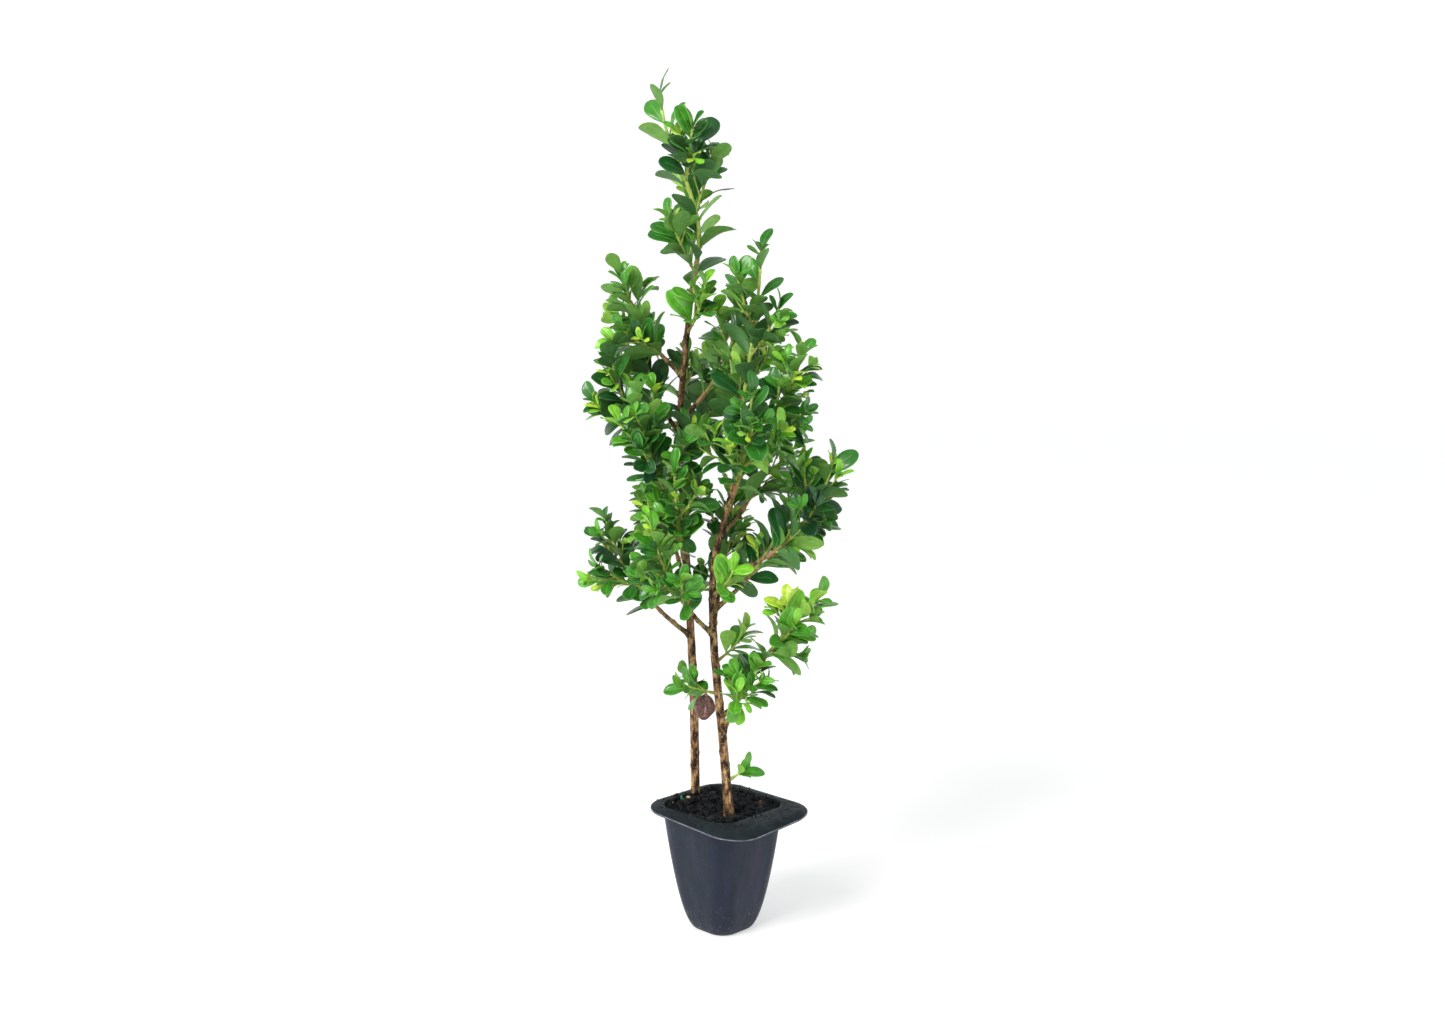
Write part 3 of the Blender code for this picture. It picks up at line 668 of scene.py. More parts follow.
def leaf_at(rng, limb, distance, turn, size):
    """A leaf on a shoot, opening less and growing smaller towards the shoot's tip."""
    point, ahead, _ = limb.at(distance)
    share = distance / limb.length
    opening = LEAF_OPEN_LOW + (LEAF_OPEN_HIGH - LEAF_OPEN_LOW) * share
    opening += rng.uniform(-LEAF_OPEN_SWAY, LEAF_OPEN_SWAY)
    along, face = splayed(ahead, turn, opening)
    face += UP * rng.uniform(*LEAF_TO_SKY)
    face = Matrix.Rotation(rng.uniform(-LEAF_ROLL, LEAF_ROLL), 3, along) @ face
    length = size * (LEAF_LONGEST - LEAF_SHORTER * share ** 2) * rng.uniform(*LENGTH_SWAY)
    return Leaf(point, along, face, length, rng.uniform(*WIDTH_SWAY), share)


def side_twig(main, distance, turn, length, thin):
    """A thin twig that leaves the main shoot at a distance along it and curves up a little."""
    point, ahead, _ = main.at(distance)
    way = splayed(ahead, turn, TWIG_OPEN)[0]
    points = [point.copy()]
    for _ in range(TWIG_STEPS):
        way = (way + UP * TWIG_LIFT).normalized()
        points.append(points[-1] + way * length / TWIG_STEPS)
    return tapered(points, *TWIG_RADII).slimmed(thin)


class Mass:
    """One mass of foliage: its main shoot, its side twigs, and the leaves of each shoot."""

    def __init__(self, name, main, twig_count, size, apart, space):
        self.name = name
        self.main = main
        self.size = size
        self.space = space
        self.airy = apart > LEAF_SPACING
        self.reach = min(REACH, REACH_SHARE * main.length + size)
        self.shoots = {name: main}
        self.rng = random.Random(name)
        turn = self.rng.uniform(0, tau)
        for k in range(twig_count):
            share = TWIG_FROM + TWIG_SPREAD * k / twig_count
            length = main.length * TWIG_SHARE * (1 - TWIG_SHORTER * share) * self.rng.uniform(*TWIG_SWAY)
            self.add_twig(name, share * main.length, turn, min(length, REACH))
            turn += 2 * SPIRAL
        self.leaves = {}
        for owner, shoot in self.shoots.items():
            first = shoot is main
            spacing = min(apart if first else TWIG_SPACING, SPACING_SHARE * shoot.length)
            self.leaves[owner] = self.dressed(owner, size if first else TWIG_LEAF * size, spacing)

    def keep(self, point):
        return min((p - point).length for p in self.main.points) < self.reach

    def add_twig(self, parent, distance, turn, length, thin=1):
        """Add a twig to a shoot at a turn where it is clear of all but that shoot, if there is one."""
        shoot = self.shoots[parent]
        start = shoot.at(distance)[2] + 2 * GAP
        for attempt in range(TRIES):
            twig = side_twig(shoot, distance, turn + attempt * TWIG_RETRY, length, thin)
            probe = tube(twig.cut(start, twig.length, 2 * twig.radii[0], 2 * twig.radii[0]), 3)
            if self.space.clear(probe, parent) and self.keep(twig.points[-1]):
                owner = f"{self.name}{len(self.shoots) - 1}"
                self.space.add(tube(twig.fattened(GAP), 3), owner)
                self.shoots[owner] = twig
                break

    def takes(self, leaf, solid, owner):
        """Take a leaf if its tip is within reach and it is clear of all but its own shoot."""
        fits = self.keep(leaf.point(leaf.length, 0, 0)) and self.space.clear(solid, owner)
        if fits:
            self.space.add(solid)
        return fits

    def dressed(self, owner, size, spacing, thick=TEST_THICK):
        """Leaves set round a shoot in a spiral, with a few turns tried for each before it is skipped."""
        limb = self.shoots[owner]
        rng = self.rng
        leaves = []
        turn = rng.uniform(0, tau)
        distance = FIRST_LEAF
        while distance < limb.length:
            for attempt in range(TRIES):
                leaf = leaf_at(rng, limb, distance, turn + attempt * rng.uniform(*LEAF_RETRY), size)
                solid = leaf_solid(leaf, TEST_SCALE, thick, limb.at(distance)[2] + GAP)
                if self.takes(leaf, solid, owner):
                    leaves.append(leaf)
                    break
            turn += SPIRAL
            distance += spacing * rng.uniform(*SPACING_SWAY)
            if limb.length - spacing < distance < limb.length:
                distance = limb.length - LAST_LEAF
        return leaves

    def young_tip(self, owner):
        """A few small leaves that still stand close together at the tip of a shoot."""
        shoot = self.shoots[owner]
        rng = self.rng
        leaves = []
        turn = rng.uniform(0, tau)
        for k in range(YOUNG_COUNT):
            point, ahead, _ = shoot.at(shoot.length - LAST_LEAF * (YOUNG_COUNT - k))
            opening = rng.uniform(*YOUNG_OPEN)
            for attempt in range(TRIES):
                along, face = splayed(ahead, turn + attempt * TWIG_RETRY, opening)
                face = Matrix.Rotation(rng.uniform(-YOUNG_ROLL, YOUNG_ROLL), 3, along) @ face
                size = rng.uniform(*YOUNG_LEAF)
                leaf = Leaf(point, along, face, size, rng.uniform(*YOUNG_WIDTH), YOUNG_SHARE)
                if self.takes(leaf, leaf_solid(leaf, 1, FINE_THICK, shoot.radii[-1] + 2 * GAP), owner):
                    leaves.append(leaf)
                    break
            turn += SPIRAL
        return leaves

    def grow_finer(self):
        """Carry the rule on: short sprigs, small leaves between the large ones, and young tips.

        The main shoot of an airy mass stays open: it gets only the young tip.
        """
        self.rng = random.Random(self.name + "_finer")
        for owner, shoot in list(self.shoots.items()):
            turn = self.rng.uniform(0, tau)
            count = 0 if self.airy and shoot is self.main else int(shoot.length / SPRIG_SPACING)
            for k in range(count):
                distance = shoot.length * (SPRIG_FROM + SPRIG_SPREAD * k / count)
                self.add_twig(owner, distance, turn, self.rng.uniform(*SPRIG_LENGTH), SPRIG_THIN)
                turn += 2 * SPIRAL
        for owner, shoot in self.shoots.items():
            small, spacing = (SPRIG_LEAF, SPRIG_LEAF_SPACING)
            if owner in self.leaves:
                small, spacing = (FINE_LEAF, FINE_SPACING)
            leaves = self.leaves.setdefault(owner, [])
            if not (self.airy and shoot is self.main):
                leaves += self.dressed(owner, small * self.size, spacing, FINE_THICK)
            leaves += self.young_tip(owner)


def stem_line(stem, steps):
    """Points on a stem's middle line from the soil up."""
    corners = [Vector((*stem.route[0], 0)) * MM + UP * (SOIL_TOP + GAP)]
    corners += [Vector(point) * MM for point in stem.route[1:]]
    return smooth_route(corners, steps)


def stem_limb(stem, line):
    """A woody stem along a line, with an even taper."""
    limb = Limb(line, [0.0] * len(line))
    limb.radii = [(stem.foot + (stem.tip - stem.foot) * d / limb.length) * MM for d in limb.lengths]
    return limb


def coarse_stem(stem):
    """The stem as its solid has it: a flared foot below the even taper."""
    line = stem_line(stem, STEM_STEPS)
    line.insert(1, line[0].lerp(line[1], FLARE_HEIGHT / (line[1] - line[0]).length))
    limb = stem_limb(stem, line)
    limb.radii[0] *= FLARE_GROWTH
    return limb


def side_limb(branch, stem, foot):
    """The whole line of a branch, and the distance along it that is clear of the stem's bark."""
    point, ahead, radius = stem.at(stem.at_height(branch.height * MM))
    points = arching_line(point, branch.heading, branch.rise, (branch.bare + branch.leafy) * MM)
    line = Limb(points, [foot] * len(points))
    angle = ahead.angle(line.at(0)[1])
    return line, (radius + GAP + foot * abs(cos(angle))) / sin(angle)


def leading_limb(leader, stem):
    """The green shoot that carries a stem on from its tip."""
    corners = [stem.points[-2], stem.points[-1]] + [Vector(point) * MM for point in leader.route]
    line = smooth_route(corners, LEADER_STEPS)[LEADER_STEPS:]
    whole = Limb(line, [LEADER_RADII[0]] * len(line))
    return whole.cut(GAP, whole.length, *LEADER_RADII)


def grow_plant():
    """Stems, boughs from their stem's middle line, and masses, in the same order as the solids."""
    space = Space()
    for name in ("pot", "soil"):
        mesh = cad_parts[name].data
        space.add(([v.co.copy() for v in mesh.vertices], [tuple(p.vertices) for p in mesh.polygons]))
    limbs = {name: coarse_stem(stem) for name, stem in STEMS.items()}

    def bearer(row):
        return limbs["stem_" + row.name.split("_")[0]]

    shoots = {row.name: leading_limb(row, bearer(row)) for row in LEADERS}
    boughs = {}
    for row in BRANCHES:
        line, start = side_limb(row, bearer(row), BOUGH_RADII[0])
        limbs["bough_" + row.name] = line.cut(start, row.bare * MM, *BOUGH_RADII)
        boughs["bough_" + row.name] = line.cut(0, row.bare * MM, *BOUGH_RADII)
        shoots[row.name] = line.cut(row.bare * MM + GAP, line.length, *SHOOT_RADII)
    for row in SPURS:
        line, start = side_limb(row, bearer(row), SHOOT_RADII[0])
        shoots[row.name] = line.cut(start, line.length, *SHOOT_RADII)
    for limb in limbs.values():
        space.add(tube(limb.fattened(GAP), STEM_SIDES))
    for name, shoot in shoots.items():
        space.add(tube(shoot.fattened(GAP), 3), "foliage_" + name)
    masses = []
    for row in LEADERS + BRANCHES + SPURS:
        apart = LEADER_SPACING if row in LEADERS else LEAF_SPACING
        masses.append(Mass("foliage_" + row.name, shoots[row.name], row.twigs, row.leaf * MM, apart, space))
    for mass in masses:
        mass.grow_finer()
    return boughs, masses


def mesh_object(name, verts, faces, materials):
    """A smooth mesh with its materials, put into the scene."""
    mesh = bpy.data.meshes.new(name)
    mesh.from_pydata(verts, [], faces)
    for material in materials:
        mesh.materials.append(material)
    mesh.shade_smooth()
    thing = bpy.data.objects.new(name, mesh)
    bpy.context.scene.collection.objects.link(thing)
    return thing


class Kind:
    """Faces of one kind from all over the plant, joined into one piece."""

    def __init__(self):
        self.verts = []
        self.faces = []
        self.slots = []

    def add(self, solid, slots=0):
        verts, faces = solid
        base = len(self.verts)
        self.verts.extend(verts)
        self.faces.extend(tuple(base + v for v in face) for face in faces)
        self.slots.extend([slots] * len(faces) if isinstance(slots, int) else slots)

    def piece(self, name, slot, materials, nodes=()):
        """Make the piece, and let it stand for CAD nodes."""
        thing = mesh_object(name, self.verts, self.faces, materials)
        thing.data.polygons.foreach_set("material_index", self.slots)
        thing.data.set_sharp_from_angle(angle=CREASE)
        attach(thing, "root")
        if nodes:
            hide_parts(*nodes)


def blade_half(share, shape):
    """Half width along a leaf: a thin stalk, a wedge, widest past the middle, then a round tip."""
    if share <= STALK:
        return STALK_HALF
    along = (share - STALK) / (1 - STALK)
    return STALK_HALF + BLADE_HALF * max(sin(pi * along ** shape.widest), 0) ** shape.blunt


def blade(leaf, shape):
    """One leaf as a closed thin blade, and each face's colour slot: top, underside, rib, or margin as painted
    highlight.
    """
    length = leaf.length
    rows = ROWS if length > SMALL_LEAF else ROWS[:-3:2] + ROWS[-3:]
    columns = COLUMNS if length > SMALL_LEAF else SMALL_COLUMNS
    last = (len(rows) - 1, len(columns) - 1)
    thick = BLADE_THICK * (BLADE_LEAST + (1 - BLADE_LEAST) * length / LEAF_FULL)
    verts = []
    index = {}
    for face in (1, -1):
        for row, share in enumerate(rows):
            half = blade_half(share, shape) * length * leaf.width
            spine = length * (shape.bow * sin(pi * share) - shape.droop * share ** 3)
            drift = length * shape.sway * share ** 2
            ripple = shape.wave * half * sin(4 * pi * share + shape.phase)
            for col, across in enumerate(columns):
                edge = row in (0, last[0]) or col in (0, last[1])
                if edge and face < 0:
                    index[face, row, col] = index[1, row, col]
                    continue
                reach = across * half
                up = spine + shape.fold * abs(reach) - shape.curl * half * across ** 4
                up += shape.twist * share * reach + ripple * across ** 2
                if abs(across) == RIB:
                    reach = copysign(min(RIB_HALF, RIB_SHARE * half), across)
                    up -= RIB_SUNK if face > 0 else RIB_PROUD
                if not edge:
                    up += face * thick * (0.5 + STALK_THICK * max(0, 1 - share / STALK))
                index[face, row, col] = len(verts)
                verts.append(leaf.point(share * length, reach + drift, up))
    faces = []
    slots = []
    for face in (1, -1):
        for row in range(last[0]):
            for col in range(last[1]):
                corners = ((row, col), (row + 1, col), (row + 1, col + 1), (row, col + 1))
                faces.append(tuple(index[face, r, c] for r, c in corners[::face]))
                rib = rows[row] < STALK or (col == last[1] // 2 and rows[row + 1] < RIB_END)
                # The outer columns are the margin: a pale strip painted as a highlight along the edge.
                margin = columns is COLUMNS and col in (0, last[1] - 1)
                slots.append(2 if rib else 3 if margin else 0 if face > 0 else 1)
    return (verts, faces), slots


def bud(root, way, length, radius):
    """A small pointed bud."""
    line = [root + way * length * share for share, _ in BUD_OUTLINE]
    return tube(Limb(line, [radius * wide for _, wide in BUD_OUTLINE]), 6)


def shoot_skin(shoot, leaves, back, youngest):
    """A green shoot that swells at each leaf, and the colour slot of each face by its age."""
    knots = [leaf.share * shoot.length + back for leaf in leaves if leaf.share < YOUNG_SHARE]
    limb = shoot.grown_back(back).smoothed(SHOOT_RING)
    foot = limb.radii[0]

    def relief(distance, turn):
        swell = max((exp(-((distance - knot) / KNOT_WIDE) ** 2) for knot in knots), default=0)
        collar = SHOOT_COLLAR * foot * exp(-max(distance - back - foot, 0) / SHOOT_FADE)
        return collar + KNOT_RISE * foot * swell + SHOOT_RIDGE * cos(3 * turn)

    verts, faces = tube(limb, SHOOT_SIDES, relief)
    slots = []
    for k in range(len(faces)):
        share = limb.lengths[min(k // SHOOT_SIDES, len(limb.lengths) - 1)] / limb.length
        slots.append(max(youngest, sum(share > age for age in SHOOT_AGES)))
    return (verts, faces), slots


def bark_scars(limb, rng):
    """A spiral of leaf scars up a limb: the distance, turn and size of each."""
    scars = []
    distance = rng.uniform(*SCAR_STEP)
    turn = rng.uniform(0, tau)
    while distance < limb.length - SCAR_LONG:
        scars.append((distance, turn % tau, rng.uniform(*SCAR_SWAY)))
        distance += rng.uniform(*SCAR_STEP)
        turn += SPIRAL + rng.uniform(-SCAR_TURN, SCAR_TURN)
    return scars


def seeded_shift(rng):
    """A place in the noise, so that no two fields of it look alike."""
    return Vector([rng.uniform(0, NOISE_SPAN) for _ in range(3)])


def bark_skin(limb, sides, rng, scars, growth):
    """Bark with ridges and crumbs that swells at each leaf scar.

    growth(distance, turn) is the share by which the limb is thicker there than its even taper.
    """
    shift = seeded_shift(rng)

    def swelling(distance, turn, radius):
        best = 0.0
        for middle, facing, size in scars:
            along = (distance - middle) / SCAR_LONG
            if abs(along) < SCAR_REACH:
                apart = (turn - facing + pi) % tau - pi
                across = apart * radius / SCAR_WIDE
                best = max(best, size * exp(-along * along - across * across))
        return best

    def field(distance, turn, radius, rise, cell, long):
        return rise * noise.noise(shift + Vector((
            cos(turn) * radius / cell, sin(turn) * radius / cell, distance / (cell * long))))

    def relief(distance, turn):
        radius = limb.at(distance)[2]
        rise = field(distance, turn, radius, *RIDGES)
        rise += field(distance, turn, radius, *BARK_CRUMBS)
        rise += SCAR_RISE * swelling(distance, turn, radius)
        return rise + radius * growth(distance, turn)

    return tube(limb, sides, relief)


def add_scars(kind, limb, sides, skin, scars):
    """A small dark crescent, pressed flat round the limb, just above each swelling of its bark."""
    shape, faces = ball(2)
    for middle, turn, size in scars:
        middle += SCAR_ABOVE
        ring = min(range(len(limb.lengths)), key=lambda k: abs(limb.lengths[k] - middle))
        place = skin[0][ring * sides + round(turn / tau * sides) % sides]
        along = limb.at(middle)[1]
        out = place - limb.points[ring]
        out -= along * out.dot(along)
        round_limb = 2 * out.length
        out.normalize()
        side = along.cross(out)
        verts = []
        for v in shape:
            across = SCAR_SIZE[1] * size * v.y
            bowed = SCAR_SIZE[0] * size * v.x - SCAR_BOW * across * across / SCAR_SIZE[1]
            pressed = SCAR_SIZE[2] * v.z - across * across / round_limb
            verts.append(place + along * bowed + side * across + out * pressed)
        kind.add((verts, faces))


def foot_growth(distance, turn):
    """A lobed flare where a stem stands in the soil."""
    lobes = 1 + FOOT_LOBES[1] * cos(FOOT_LOBES[0] * turn)
    return FOOT_FLARE * lobes * exp(-max(distance - FOOT_BELOW, 0) / FOOT_FADE)


def collar_growth(distance, turn):
    """The collar at the foot of a bough."""
    return COLLAR * exp(-max(distance - BOUGH_RADII[0], 0) / COLLAR_FADE)


def add_bark(boughs):
    """The two stems, the boughs, each with a collar at its stem, and the leaf scars of all of them."""
    bark = bark_material("bark", BARK_LOW, BARK_HIGH)
    younger = bark_material("bark_younger", BARK_BOUGH, BARK_BOUGH_HIGH)
    dark = Kind()
    joined = Kind()
    for name, stem in STEMS.items():
        rng = random.Random(name)
        limb = stem_limb(stem, stem_line(stem, STEM_STEPS * 2)).grown_back(FOOT_BELOW).smoothed(BARK_RING)
        scars = bark_scars(limb, rng)
        skin = bark_skin(limb, STEM_SKIN, rng, scars, foot_growth)
        kind = Kind()
        kind.add(skin)
        kind.piece("bark_" + name, "bark", [bark], (name,))
        add_scars(dark, limb, STEM_SKIN, skin, scars)
    for name, bough in boughs.items():
        rng = random.Random(name)
        limb = bough.smoothed(BARK_RING)
        scars = bark_scars(limb, rng)[1:]
        skin = bark_skin(limb, BOUGH_SKIN, rng, scars, collar_growth)
        joined.add(skin)
        add_scars(dark, limb, BOUGH_SKIN, skin, scars)
    joined.piece("bark_boughs", "bark", [younger], boughs)
    dark.piece("bark_scars", "bark", [mottled("bark_scar", SCAR_COLOUR, SCAR_LOOK)])


def add_leaves(masses):
    """Every leaf of the plant, dealt out by spray into one piece for each tone."""
    kinds = [Kind() for _ in TONES]
    for mass in masses:
        rng = random.Random(mass.name + "_tone")
        for owner, shoot in mass.shoots.items():
            level = rng.triangular(*LEVEL_SPREAD)
            young = len(TONES) - 1 if rng.random() < YOUNG_SHOOTS else level + YOUNG_STEP
            if shoot.points[-1].z < LOW_CLUSTER:
                level += LOW_BRIGHTER
                young = level + 1
            for leaf in mass.leaves[owner]:
                step = level + rng.uniform(-LEVEL_SWAY, LEVEL_SWAY) + (leaf.share > OUTER_SHARE)
                if leaf.share == YOUNG_SHARE:
                    step = young - rng.random()
                step = min(max(round(step), 0), len(TONES) - 1)
                kinds[step].add(*blade(leaf, Shape(*(rng.uniform(*span) for span in LEAF_SHAPES))))
    nodes = [mass.name for mass in masses]
    for tone, kind in zip(TONES, kinds):
        kind.piece("leaves_" + tone.name, "foliage", leaf_materials(tone), nodes)


def add_shoots(masses):
    """Shoots and side twigs in one piece, with buds in another."""
    green = Kind()
    buds = Kind()
    feet = {"foliage_" + row.name: foot for rows, foot in FEET for row in rows}
    for mass in masses:
        rng = random.Random(mass.name + "_bud")
        for owner, shoot in mass.shoots.items():
            back, slim, age = feet[mass.name] if shoot is mass.main else TWIG_FEET
            thin = shoot.slimmed(slim)
            green.add(*shoot_skin(thin, mass.leaves[owner], back, age))
            tip, ahead, radius = thin.at(thin.length)
            buds.add(bud(tip, ahead, rng.uniform(*BUD_LENGTH), radius))
            for leaf in mass.leaves[owner]:
                if leaf.share < OUTER_SHARE and leaf.length > SMALL_LEAF:
                    point, ahead, radius = thin.at(leaf.share * thin.length)
                    outward = (leaf.along - ahead * leaf.along.dot(ahead)).normalized()
                    length = rng.uniform(*BUD_LENGTH)
                    root = point + outward * radius * BUD_OUT + ahead * radius
                    buds.add(bud(root, (ahead * BUD_LEAN + outward).normalized(), length, length * BUD_WIDE))
    nodes = [mass.name for mass in masses]
    looks = [mottled(name, colour, SHOOT_LOOK) for name, colour in SHOOT_COLOURS.items()]
    green.piece("shoots", "foliage", looks, nodes)
    buds.piece("buds", "foliage", [mottled("bud_green", BUD_COLOUR, SHOOT_LOOK)], nodes)


def add_dead_leaf(masses):
    """One withered leaf that hangs from a low twig."""
    twig = next(mass for mass in masses if mass.name == DEAD_LEAF_TWIG).main
    root = twig.at(DEAD_LEAF_AT)[0]
    leaf = Leaf(root, DEAD_LEAF_WAY, DEAD_LEAF_FACE, DEAD_LEAF_LENGTH, DEAD_LEAF_WIDTH, 0)
    kind = Kind()
    kind.add(*blade(leaf, DEAD_LEAF_SHAPE))
    looks = [mottled("leaf_withered_" + side, row, LEAF_DEAD) for side, row in DEAD_LEAF_COLOURS.items()]
    kind.piece("leaf_withered", "foliage", looks + looks[1:2], (DEAD_LEAF_TWIG,))


def pot_half(height):
    """Half width of the pot's body at a height."""
    return FOOT_HALF + (MOUTH_HALF - FOOT_HALF) * (height / POT_DEPTH) ** TAPER_POWER


def pot_corner(height):
    """Corner radius of the pot's body at a height."""
    return FOOT_CORNER + (MOUTH_CORNER - FOOT_CORNER) * height / POT_DEPTH


def rounded_ring(left, near, right, far, corner, height):
    """A level ring round a rectangle with round corners, turned with the pot."""
    turn = Matrix.Rotation(POT_TURN, 3, "Z")
    middles = (
        (right - corner, far - corner), (left + corner, far - corner),
        (left + corner, near + corner), (right - corner, near + corner))
    ring = []
    for quarter, (x, y) in enumerate(middles):
        for step in range(ARC_STEPS + 1):
            angle = radians(90) * (quarter + step / ARC_STEPS)
            ring.append(turn @ Vector((x + corner * cos(angle), y + corner * sin(angle), height)))
    return ring


def square_ring(half, corner, height):
    return rounded_ring(-half, -half, half, half, corner, height)


def wall_ring(height, inset=0):
    """A ring round the pot's body at a height, set in from its outer face."""
    return square_ring(pot_half(height) - inset, pot_corner(height) - inset, height)


def rim_ring(inset, height, sag):
    """A ring along the rim's edge, wide at one front side, that sags more towards the front corner."""
    left = -MOUTH_HALF - RIM_NARROW + inset
    near = -MOUTH_HALF - RIM_WIDE + inset
    back = MOUTH_HALF + RIM_BACK - inset
    ring = rounded_ring(left, near, back, back, RIM_CORNER - inset, height)
    for point in ring:
        forward = min(max(-point.y / RIM_TIP, 0), 1)
        point.z -= sag * RIM_SAG * forward * forward * (3 - 2 * forward)
    return ring


def rim_bend(top):
    """Rings of the rim's bend from its inner side outward, below a level."""
    rings = []
    for step in range(RIM_STEPS):
        share = step / RIM_STEPS
        level = top - RIM_DROOP * share ** DROOP_POWER
        rings.append(rim_ring(RIM_BEND * (1 - share), level, SAG_INNER + (1 - SAG_INNER) * share))
    return rings


def between(ring, other):
    """Rings strictly between two rings."""
    return [[a.lerp(b, k / RIM_STEPS) for a, b in zip(ring, other)] for k in range(1, RIM_STEPS)]


def rim_wave(point):
    """How far the thin rim bends up or down at a point beyond the pot's mouth."""
    beyond = min(max(abs(point.x) + abs(point.y) - RIM_STIFF, 0) / RIM_FREE, 1)
    if point.z < POT_DEPTH / 2:
        return 0.0
    return RIM_WAVE * beyond * noise.noise(Vector((point.x, point.y, 0)) / RIM_WAVE_LONG)


def add_pot():
    """The tray cell: a thin moulded shell with a drooping rim and a pale cut edge."""
    under = POT_DEPTH - RIM_THICK
    heights = [under * (k / BODY_RINGS) ** RING_POWER for k in range(BODY_RINGS + 1)]
    outer = [wall_ring(h) for h in heights]
    lower = rim_bend(under)
    edge = POT_DEPTH - RIM_DROOP
    levels = (
        (RIM_BEVEL, edge - RIM_THICK), (0, edge - RIM_THICK + RIM_BEVEL), (0, edge - RIM_THICK / 2),
        (0, edge - RIM_BEVEL), (RIM_BEVEL, edge))
    edges = [rim_ring(inset, level, 1) for inset, level in levels]
    upper = rim_bend(POT_DEPTH)[::-1]
    mouth = MOUTH_HALF - POT_WALL
    lip = square_ring(mouth + MOUTH_BEVEL, MOUTH_CORNER - POT_WALL + MOUTH_BEVEL, POT_DEPTH)
    inside = [square_ring(mouth, MOUTH_CORNER - POT_WALL, POT_DEPTH - MOUTH_BEVEL)]
    for h in reversed(heights):
        if FLOOR_HEIGHT + POT_WALL < h < POT_DEPTH - 3 * MOUTH_BEVEL:
            inside.append(wall_ring(h, POT_WALL))
    inner = pot_half(FLOOR_HEIGHT) - POT_WALL - FLOOR_ROUND
    inside.append(square_ring(inner, pot_corner(FLOOR_HEIGHT) - POT_WALL, FLOOR_HEIGHT))
    below = outer + between(outer[-1], lower[0]) + lower + edges[:2]
    above = edges[4:] + upper + between(upper[-1], lip) + [lip] + inside
    rings = below + edges[2:4] + above
    for ring in rings:
        for point in ring:
            point.z += rim_wave(point)
    slots = [0] * len(below) + [2, 2] + [1] * len(above)
    kind = Kind()
    kind.add(loft(rings), [slot for slot in slots[:-1] for _ in rings[0]] + [0, 1])
    looks = [pot_body_material(), pot_rim_material(), mottled("pot_edge", EDGE_COLOUR, EDGE_LOOK)]
    kind.piece("pot_shell", "pot_plastic", looks, ("pot",))
    return BVHTree.FromPolygons(kind.verts, kind.faces)


def soil_height(x, y):
    """Height of the root ball's rough top, mounded round the left stem."""
    apart = (Vector((x, y, 0)) - MOUND_AT).length / MOUND_WIDE
    height = SOIL_TOP + MOUND * exp(-apart * apart)
    for cell, rise in LUMPS:
        height += rise * noise.noise(Vector((x, y, cell * LUMPS_APART)) / cell)
    return height


def even_ring(ring):
    """The same closed ring with points at even distances."""
    lengths = [0.0]
    closed = ring + [ring[0]]
    for a, b in zip(closed, closed[1:]):
        lengths.append(lengths[-1] + (b - a).length)
    points = []
    k = 0
    for step in range(SOIL_POINTS):
        distance = lengths[-1] * step / SOIL_POINTS
        while lengths[k + 1] < distance:
            k += 1
        share = (distance - lengths[k]) / max(lengths[k + 1] - lengths[k], 1e-9)
        points.append(closed[k].lerp(closed[k + 1], share))
    return points


def ball(subdivisions):
    """Vertices and faces of a unit ball, to be made into lumps."""
    work = bmesh.new()
    bmesh.ops.create_icosphere(work, subdivisions=subdivisions, radius=1)
    verts = [v.co.copy() for v in work.verts]
    faces = [tuple(v.index for v in face.verts) for face in work.faces]
    work.free()
    return verts, faces


def lump(rng, shape, place, size, rough):
    """A rough lump: a unit shape stretched, turned and dented by noise."""
    shift = seeded_shift(rng)
    turn = Matrix.Rotation(rng.uniform(0, tau), 3, Vector([rng.uniform(-1, 1) for _ in range(3)]))
    made = []
    for v in shape[0]:
        dented = v * (1 + rough * noise.noise(v * DENT_CELLS + shift))
        made.append(place + turn @ Vector([dented[i] * size[i] for i in range(3)]))
    return made, shape[1]


def on_soil(rng):
    """A seeded place on the root ball's top, clear of the pot's wall."""
    reach = MOUTH_HALF - POT_WALL - SOIL_EDGE
    while True:
        flat = Vector((rng.uniform(-reach, reach), rng.uniform(-reach, reach), 0))
        over = Vector([max(abs(flat[i]) - reach + MOUTH_CORNER, 0) for i in range(3)])
        if over.length < MOUTH_CORNER:
            place = Matrix.Rotation(POT_TURN, 3, "Z") @ flat
            return place.x, place.y


def on_rim(rng, pot):
    """A seeded place on the rim's upper face, close to one side of the pot's mouth."""
    along = rng.uniform(-1, 1) * (MOUTH_HALF - MOUTH_CORNER / 2)
    flat = Vector((MOUTH_HALF + SPILL_REACH * rng.random() ** 2, along, 0))
    place = Matrix.Rotation(POT_TURN + radians(90) * rng.randrange(4), 3, "Z") @ flat
    return pot.ray_cast(place + UP, -UP)[0]


